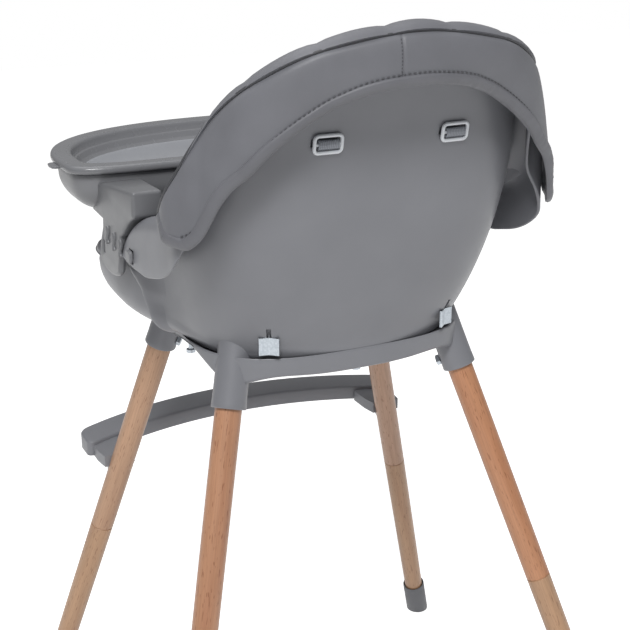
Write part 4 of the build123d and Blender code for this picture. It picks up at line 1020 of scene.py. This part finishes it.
rest_rings = []
ends = [219.0, 218.6, 217.4, 215.4, 212.6, 209.0, 205.0]
for x in [-x for x in ends] + list(np.linspace(-198, 198, 60)) + ends[::-1]:
    past = max(abs(x) - REST_HALF + REST_ROUND, 0.0)
    inset = REST_ROUND - sqrt(max(REST_ROUND**2 - past**2, 0.0))
    squeeze = (REST_WIDTH - 2 * inset) / REST_WIDTH
    crown = 2.4 if abs(x) > 218.8 else (1.0 if abs(x) > 218 else 0.0)
    ring = []
    for behind, up in REST_SECTION:
        height = min(max(up, crown * 0.3), REST_THICK - crown * 0.6)
        ring.append(footrest_point(x, inset + behind * squeeze, REST_Z + height))
    rest_rings.append(ring)
rest_parts = [loft(rest_rings)]
for corner, side, foot_y, socket_y in CORNERS[:2]:
    foot, along, length = leg_line(side, foot_y, socket_y)
    radius = leg_radius(REST_Z / MOUTH_Z)
    reach = radius + 5.0
    level = foot + along * (length * REST_Z / MOUTH_Z)
    bracket = []
    for y in (level.y - radius * 0.2, level.y - radius - 9.0, footrest_point(level.x, 44.0, 0)[1]):
        half = reach if y > level.y - radius else reach + 3.0
        corners = ((-1, 0.6), (1, 0.6), (1, 15.0), (-1, 15.0))
        bracket.append([(level.x + half * a, y, REST_Z + up) for a, up in corners])
    rest_parts.append(loft(bracket))
    wedge = []
    wedge_rows = [(388.0, 17.0, 11.0), (380.0, 12.0, 10.0), (372.0, 7.5, 9.0), (364.0, 4.0, 7.5)]
    for z, depth, half in wedge_rows + [(361.0, 2.6, 6.5)]:
        x0 = side * (FOOT_X - (FOOT_X - SOCKET_X) * z / MOUTH_Z)
        y0 = foot_y + (socket_y - foot_y) * z / MOUTH_Z - radius + 1.0
        tip = half * 0.8
        leg_side = [(x0 - half, y0, z), (x0 + half, y0, z)]
        wedge.append(leg_side + [(x0 + tip, y0 - depth, z), (x0 - tip, y0 - depth, z)])
    rest_parts.append(loft(wedge))
settle(make_object("foot_bar", join(*rest_parts), GREY, 35), stands_for=["footrest"])


# Tray
TRAY_TURNS = list(np.arange(0, 60, 2.0)) + list(np.arange(60, 88, 1.0)) + list(np.arange(88, 180, 2.0))
TRAY_TURNS = TRAY_TURNS + [180.0] + [360.0 - turn for turn in TRAY_TURNS[:0:-1]]


def tray_ring(inset, belly, z):
    ring = []
    gap = BELLY_Y - TRAY_Y
    for theta in TRAY_TURNS:
        turn = radians(theta)
        reach = oval_radius(theta, TRAY_HALF_WIDTH - inset, TRAY_FRONT - inset, 2.25)
        if cos(turn) > 0:
            reach = oval_radius(theta, TRAY_HALF_WIDTH - inset, TRAY_REAR - inset, 6.0)
        bite = (belly * belly) - (gap * sin(turn)) ** 2
        if cos(turn) > 0 and bite > 0:
            near = gap * cos(turn) - sqrt(bite)
            reach = (reach**-26 + near**-26) ** (-1 / 26)
        ring.append((reach * sin(turn), TRAY_Y + reach * cos(turn), z))
    return ring


hull_rows = [(58.0, 720.2), (50.0, 720.5)]
for turn in np.linspace(80, 0, 14):
    hull_rows.append((8.0 + 44.0 * (1 - cos(radians(turn))), 757.0 - 36.2 * sin(radians(turn))))
hull_rows += [(7.5, 762.0), (7.0, 768.6), (7.4, 769.6), (8.4, 770.0), (10.0, 769.6), (10.6, 768.0)]
inner_rows = [(12.0, 757.0), (18.0, 744.0), (30.0, 731.0), (52.0, 724.6), (60.0, 723.8)]
hull_rings = [tray_ring(inset, 222.0 + inset * 0.35, z) for inset, z in hull_rows + inner_rows]
hull = make_object("tray_hull", loft(hull_rings), ARM_GREY, 50)


def armrest_top(y):
    return station(RIM, 1, degrees(atan2(ARMREST_X - 10, y)))


for name, side in SIDES:
    outline = [(-112, 723), (-100, 737), (-84, 760), (-66, 763.5), (40, 776)]
    outline += [(y, armrest_top(y) + 1.0) for y in (40, 33, 27, 21, 15, 10, 5, 0)] + [(-6.6, 717)]
    inner_face = [(side * (160 + 20 * (y + 112) / 152), y, z) for y, z in outline]
    outer_face = [(side * ARMREST_X, y, z) for y, z in outline]
    block = make_object("tray_arm_" + name, loft([inner_face, outer_face]), ARM_PAINTED_SHADE)
    plate = [(-70, 734), (-72, 714), (-86, 690), (-87, 680)]
    for turn in np.radians(np.linspace(0, 180, 24)):
        plate.append((-52 - 35 * cos(turn), 677 - 14 * sin(turn)))
    plate += [(-13.5, 688), (-7, 709), (-6.6, 717), (-3, 734)]
    cut(block, prism(plate, side * 205.0, side * ARMREST_X), "UNION")
    bevel(block, 4.0, 5, 30)
    cut(block, box_mesh((side * 212, -68, 691), (10, 6, 15)))
    settle(block, body="tray")
    ribs = []
    for number in range(3):
        path = []
        for share in np.linspace(0, 1, 9):
            rib_y = -50 + 22 * number + 2.2 * sin(share * 2 * pi)
            path.append((side * 213.8, rib_y, 718 - 19 * share - 2 * number))
        ribs.append(tube(path, 2.6, 10))
    settle(make_object("tray_teeth_" + name, join(*ribs), ARM_PAINTED_SHADE), body="tray")
    tongue_mesh = box_mesh((side * 205.6, 25, 698), (4.2, 94, 10))
    tongue = make_object("tray_tongue_" + name, tongue_mesh, ARM_GREY)
    settle(bevel(tongue, 0.8), body="tray")
settle(hull, body="tray", stands_for=["tray_base"])

lip_rows = [
    (46.0, 755.2), (41.0, 755.4), (30.0, 763.0), (26.0, 770.6), (6.0, 770.9), (2.0, 771.3),
    (0.5, 772.6), (0.0, 774.5), (0.3, 777.0), (1.4, 779.0), (3.4, 780.0), (6.0, 780.3),
    (12.0, 780.2), (19.0, 779.9), (22.0, 779.4), (23.6, 778.0), (24.4, 775.5), (25.6, 770.5),
    (26.6, 769.3), (28.6, 768.8), (29.6, 767.6), (32.0, 761.0), (34.0, 759.0), (38.0, 758.2),
    (46.0, 758.0),
]
lip_rings = [tray_ring(inset, 218.0 + inset * 0.62, z) for inset, z in lip_rows]
insert = make_object("tray_dish", loft(lip_rings), TRAY_GREY, 50)
insert.data.materials.append(TRAY_FLOOR_PAINTED_REFLECTION)
# The upward floor faces of the dish get the lighter copy: a painted reflection.
for face in insert.data.polygons:
    if 0.7579 < face.center.z < 0.7588 and face.normal.z > 0.9:
        face.material_index = 1
settle(insert, body="insert", stands_for=["tray_insert"])
tab_outline = ((239, -12), (249, -12), (252.5, -9), (253.6, 0), (252.5, 9), (249, 12), (239, 12))
for name, side in SIDES:
    tab_mesh = loft([[(side * x, TRAY_Y + y, z) for x, y in tab_outline] for z in (770.8, 773.8)])
    settle(bevel(make_object("tray_tab_" + name, tab_mesh, TRAY_GREY), 0.9), body="insert")
    corner_points = []
    for dy, dz, start in ((3, 3, 0), (-3, 3, 90), (-3, -3, 180), (3, -3, 270)):
        corner_points += arc(BUTTON_Y + dy, BUTTON_Z + dz, 4, start, start + 90, 6)
    knob_mesh = prism(corner_points, side * 212.3, side * 217)
    knob = bevel(make_object("push_" + name, knob_mesh, ARM_GREY), 1.6)
    settle(knob, body=name + "_button", stands_for=["tray_button_" + name])


# Harness
def strap_piece(name, path, across, nodes, width=STRAP_WIDTH, thick=1.8, material=STRAP):
    strap = make_object(name, ribbon(path, across, width, thick), material, 60)
    layer = strap.data.attributes.new("weave", "FLOAT_VECTOR", "POINT")
    values = []
    run = 0.0
    for i, point in enumerate(path):
        if i:
            run += (Vector(point) - Vector(path[i - 1])).length
        for a, b in STRAP_SECTION:
            values += [a * width / 2 * MM, run * MM, 0.0]
    layer.data.foreach_set("vector", values)
    settle(strap, stands_for=nodes)


for name, side in SIDES:
    normal = back_normal(SHOULDER_X, SHOULDER_Z)
    normal = Vector((side * normal.x, normal.y, normal.z))
    across = Vector((normal.y, -normal.x, 0)).normalized()
    lift = across.cross(normal)
    if lift.z < 0:
        lift = -lift
    wall = Vector((side * SHOULDER_X, back_y(SHOULDER_X, SHOULDER_Z), SHOULDER_Z))
    centre = wall + normal * 2.8
    loop = []
    for cx, cz, start in ((10.2, 4.6, 0), (-10.2, 4.6, 90), (-10.2, -4.6, 180), (10.2, -4.6, 270)):
        for x, z in arc(cx, cz, 4.0, start, start + 90, 8):
            loop.append(centre + across * x + lift * z)
    slide = make_object("slide_" + name, tube(loop, 1.9, closed=True), WHITE)
    bar_path = [centre + across * reach for reach in (-14, -7, 0, 7, 14)]
    settle(slide, stands_for=["strap_slide_" + name])
    settle(make_object("slide_bar_" + name, tube(bar_path, 1.5), WHITE))
    # The webbing folded through the slide uses the lighter copy: a painted highlight.
    fold = []
    for turn in np.radians(np.linspace(-40, 300, 24)):
        fold.append(centre + lift * (4.2 * sin(turn) - 0.8) + normal * (2.6 * cos(turn) + 0.2))
    strap_piece("slide_webbing_" + name, fold, across, [], 22.0, 1.4, SLIDE_WEBBING_PAINTED_HIGHLIGHT)

    lean = Vector((side * 46, 0, 205)).normalized()
    front_y = wall.y - 26
    route = []
    hang = [(wall.y - 2, 0), (wall.y - 12, 0), (front_y, -8), (front_y - 12, -60), (front_y - 30, -150)]
    hang += [(front_y - 42, -188), (front_y - 70, -205), (48, -210)]
    for y, down in hang:
        place = Vector((side * SHOULDER_X, 0, SHOULDER_Z)) + lean * down
        route.append((place.x, y, max(place.z, 635.5)))
    flat = Vector((lean.z, 0, -lean.x))
    strap_piece("shoulder_" + name, smooth_path(route, 8), flat, ["shoulder_strap_" + name])

    outward = lap_normal(side)
    anchor = Vector((side * LAP_X, back_y(LAP_X, LAP_Z), LAP_Z - 2)) + outward * 2.4
    cross = Vector((outward.y, -outward.x, 0))
    fold_line = [(-11, 2.0), (-10.4, 3.6), (-1.4, 1.0), (0, 0.8), (1.4, 1.0), (10.4, 3.6), (11, 2.0)]
    plates = []
    for z0 in (-9.5, 9.5):
        level = anchor + Vector((0, 0, z0))
        front = [level + cross * a + outward * (b + 0.7) for a, b in fold_line]
        rear = [level + cross * a + outward * (b - 0.7) for a, b in reversed(fold_line)]
        plates.append(front + rear)
    plate = bevel(make_object("anchor_plate_" + name, loft(plates), ZINC, 25), 0.4, 2, 25)
    settle(plate, stands_for=["lap_anchor_" + name])
    start = anchor + outward * 0.5
    lap_route = []
    for reach in (0, 20, 55):
        lap_route.append((start.x - outward.x * reach, start.y - outward.y * reach, 638.5))
    lap_route += [(side * 62, 72, 639), (side * 41.5, 57, 639)]
    strap_piece("lap_" + name, smooth_path(lap_route, 8), Vector(Z), ["lap_strap_" + name])
crotch_route = [(0, CROTCH_Y, z) for z in (594, 610, 622)]
crotch_route += [(0, -32, 628.5), (0, -22, 630), (0, 0, 630)]
strap_piece("crotch_webbing", smooth_path(crotch_route, 8), Vector(X), ["crotch_strap"])

# CAD pieces that show as they are
finishes = {
    "leg_screws": ZINC, "seat_screws": ZINC, "leg_studs": ZINC, "crotch_anchor": DARK,
    "buckle_body": DARK, "buckle_button": RELEASE, "buckle_tongue_left": DARK, "buckle_tongue_right": DARK,
}
for node, material in finishes.items():
    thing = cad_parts[node]
    thing.data.materials.clear()
    thing.data.materials.append(material)


# Stage, light and camera
floor_data = bpy.data.meshes.new("floor")
floor_data.from_pydata([(-6, -6, 0), (6, -6, 0), (6, 6, 0), (-6, 6, 0)], [], [(0, 1, 2, 3)])
floor = bpy.data.objects.new("floor", floor_data)
bpy.context.scene.collection.objects.link(floor)
material, look = new_material("floor_white", (0.93, 0.93, 0.93), 0.9)
look.set("Emission Color", (1, 1, 1, 1))
look.feed("Emission Strength", look.span(look.seen_directly("Is Glossy Ray"), 0.0, FLOOR_GLOW))
floor_data.materials.append(material)

world = bpy.data.worlds.new("studio")
bpy.context.scene.world = world
world.use_nodes = True
sky = Graph(world.node_tree, "Background")
sky.set("Color", (1, 1, 1, 1))
sky.feed("Strength", sky.span(sky.seen_directly("Is Transmission Ray"), WORLD_LIGHT, 1.0))


def add_aimed(name, data, place, target):
    thing = bpy.data.objects.new(name, data)
    thing.location = place
    thing.rotation_euler = (Vector(target) - Vector(place)).to_track_quat("-Z", "Y").to_euler()
    bpy.context.scene.collection.objects.link(thing)
    return thing


def area_light(name, place, target, size, power):
    light = bpy.data.lights.new(name, "AREA")
    light.size = size
    light.energy = power
    add_aimed(name, light, place, target)


area_light("key", (1.05, 1.95, 3.1), (0, 0, 0.7), 0.9, 72)
area_light("fill", (-1.9, 1.3, 1.3), (0, 0, 0.6), 1.6, 0.6)
area_light("top", (0.2, -0.6, 2.6), (0, 0, 0.8), 1.6, 14)

camera_data = bpy.data.cameras.new("camera")
camera_data.sensor_width = 36.0
camera_data.lens = 72.49
camera_data.shift_x = -0.0005
camera_data.shift_y = -0.0067
camera = add_aimed("camera", camera_data, CAMERA_PLACE, CAMERA_TARGET)
bpy.context.scene.camera = camera
bpy.context.scene.view_settings.view_transform = "Standard"
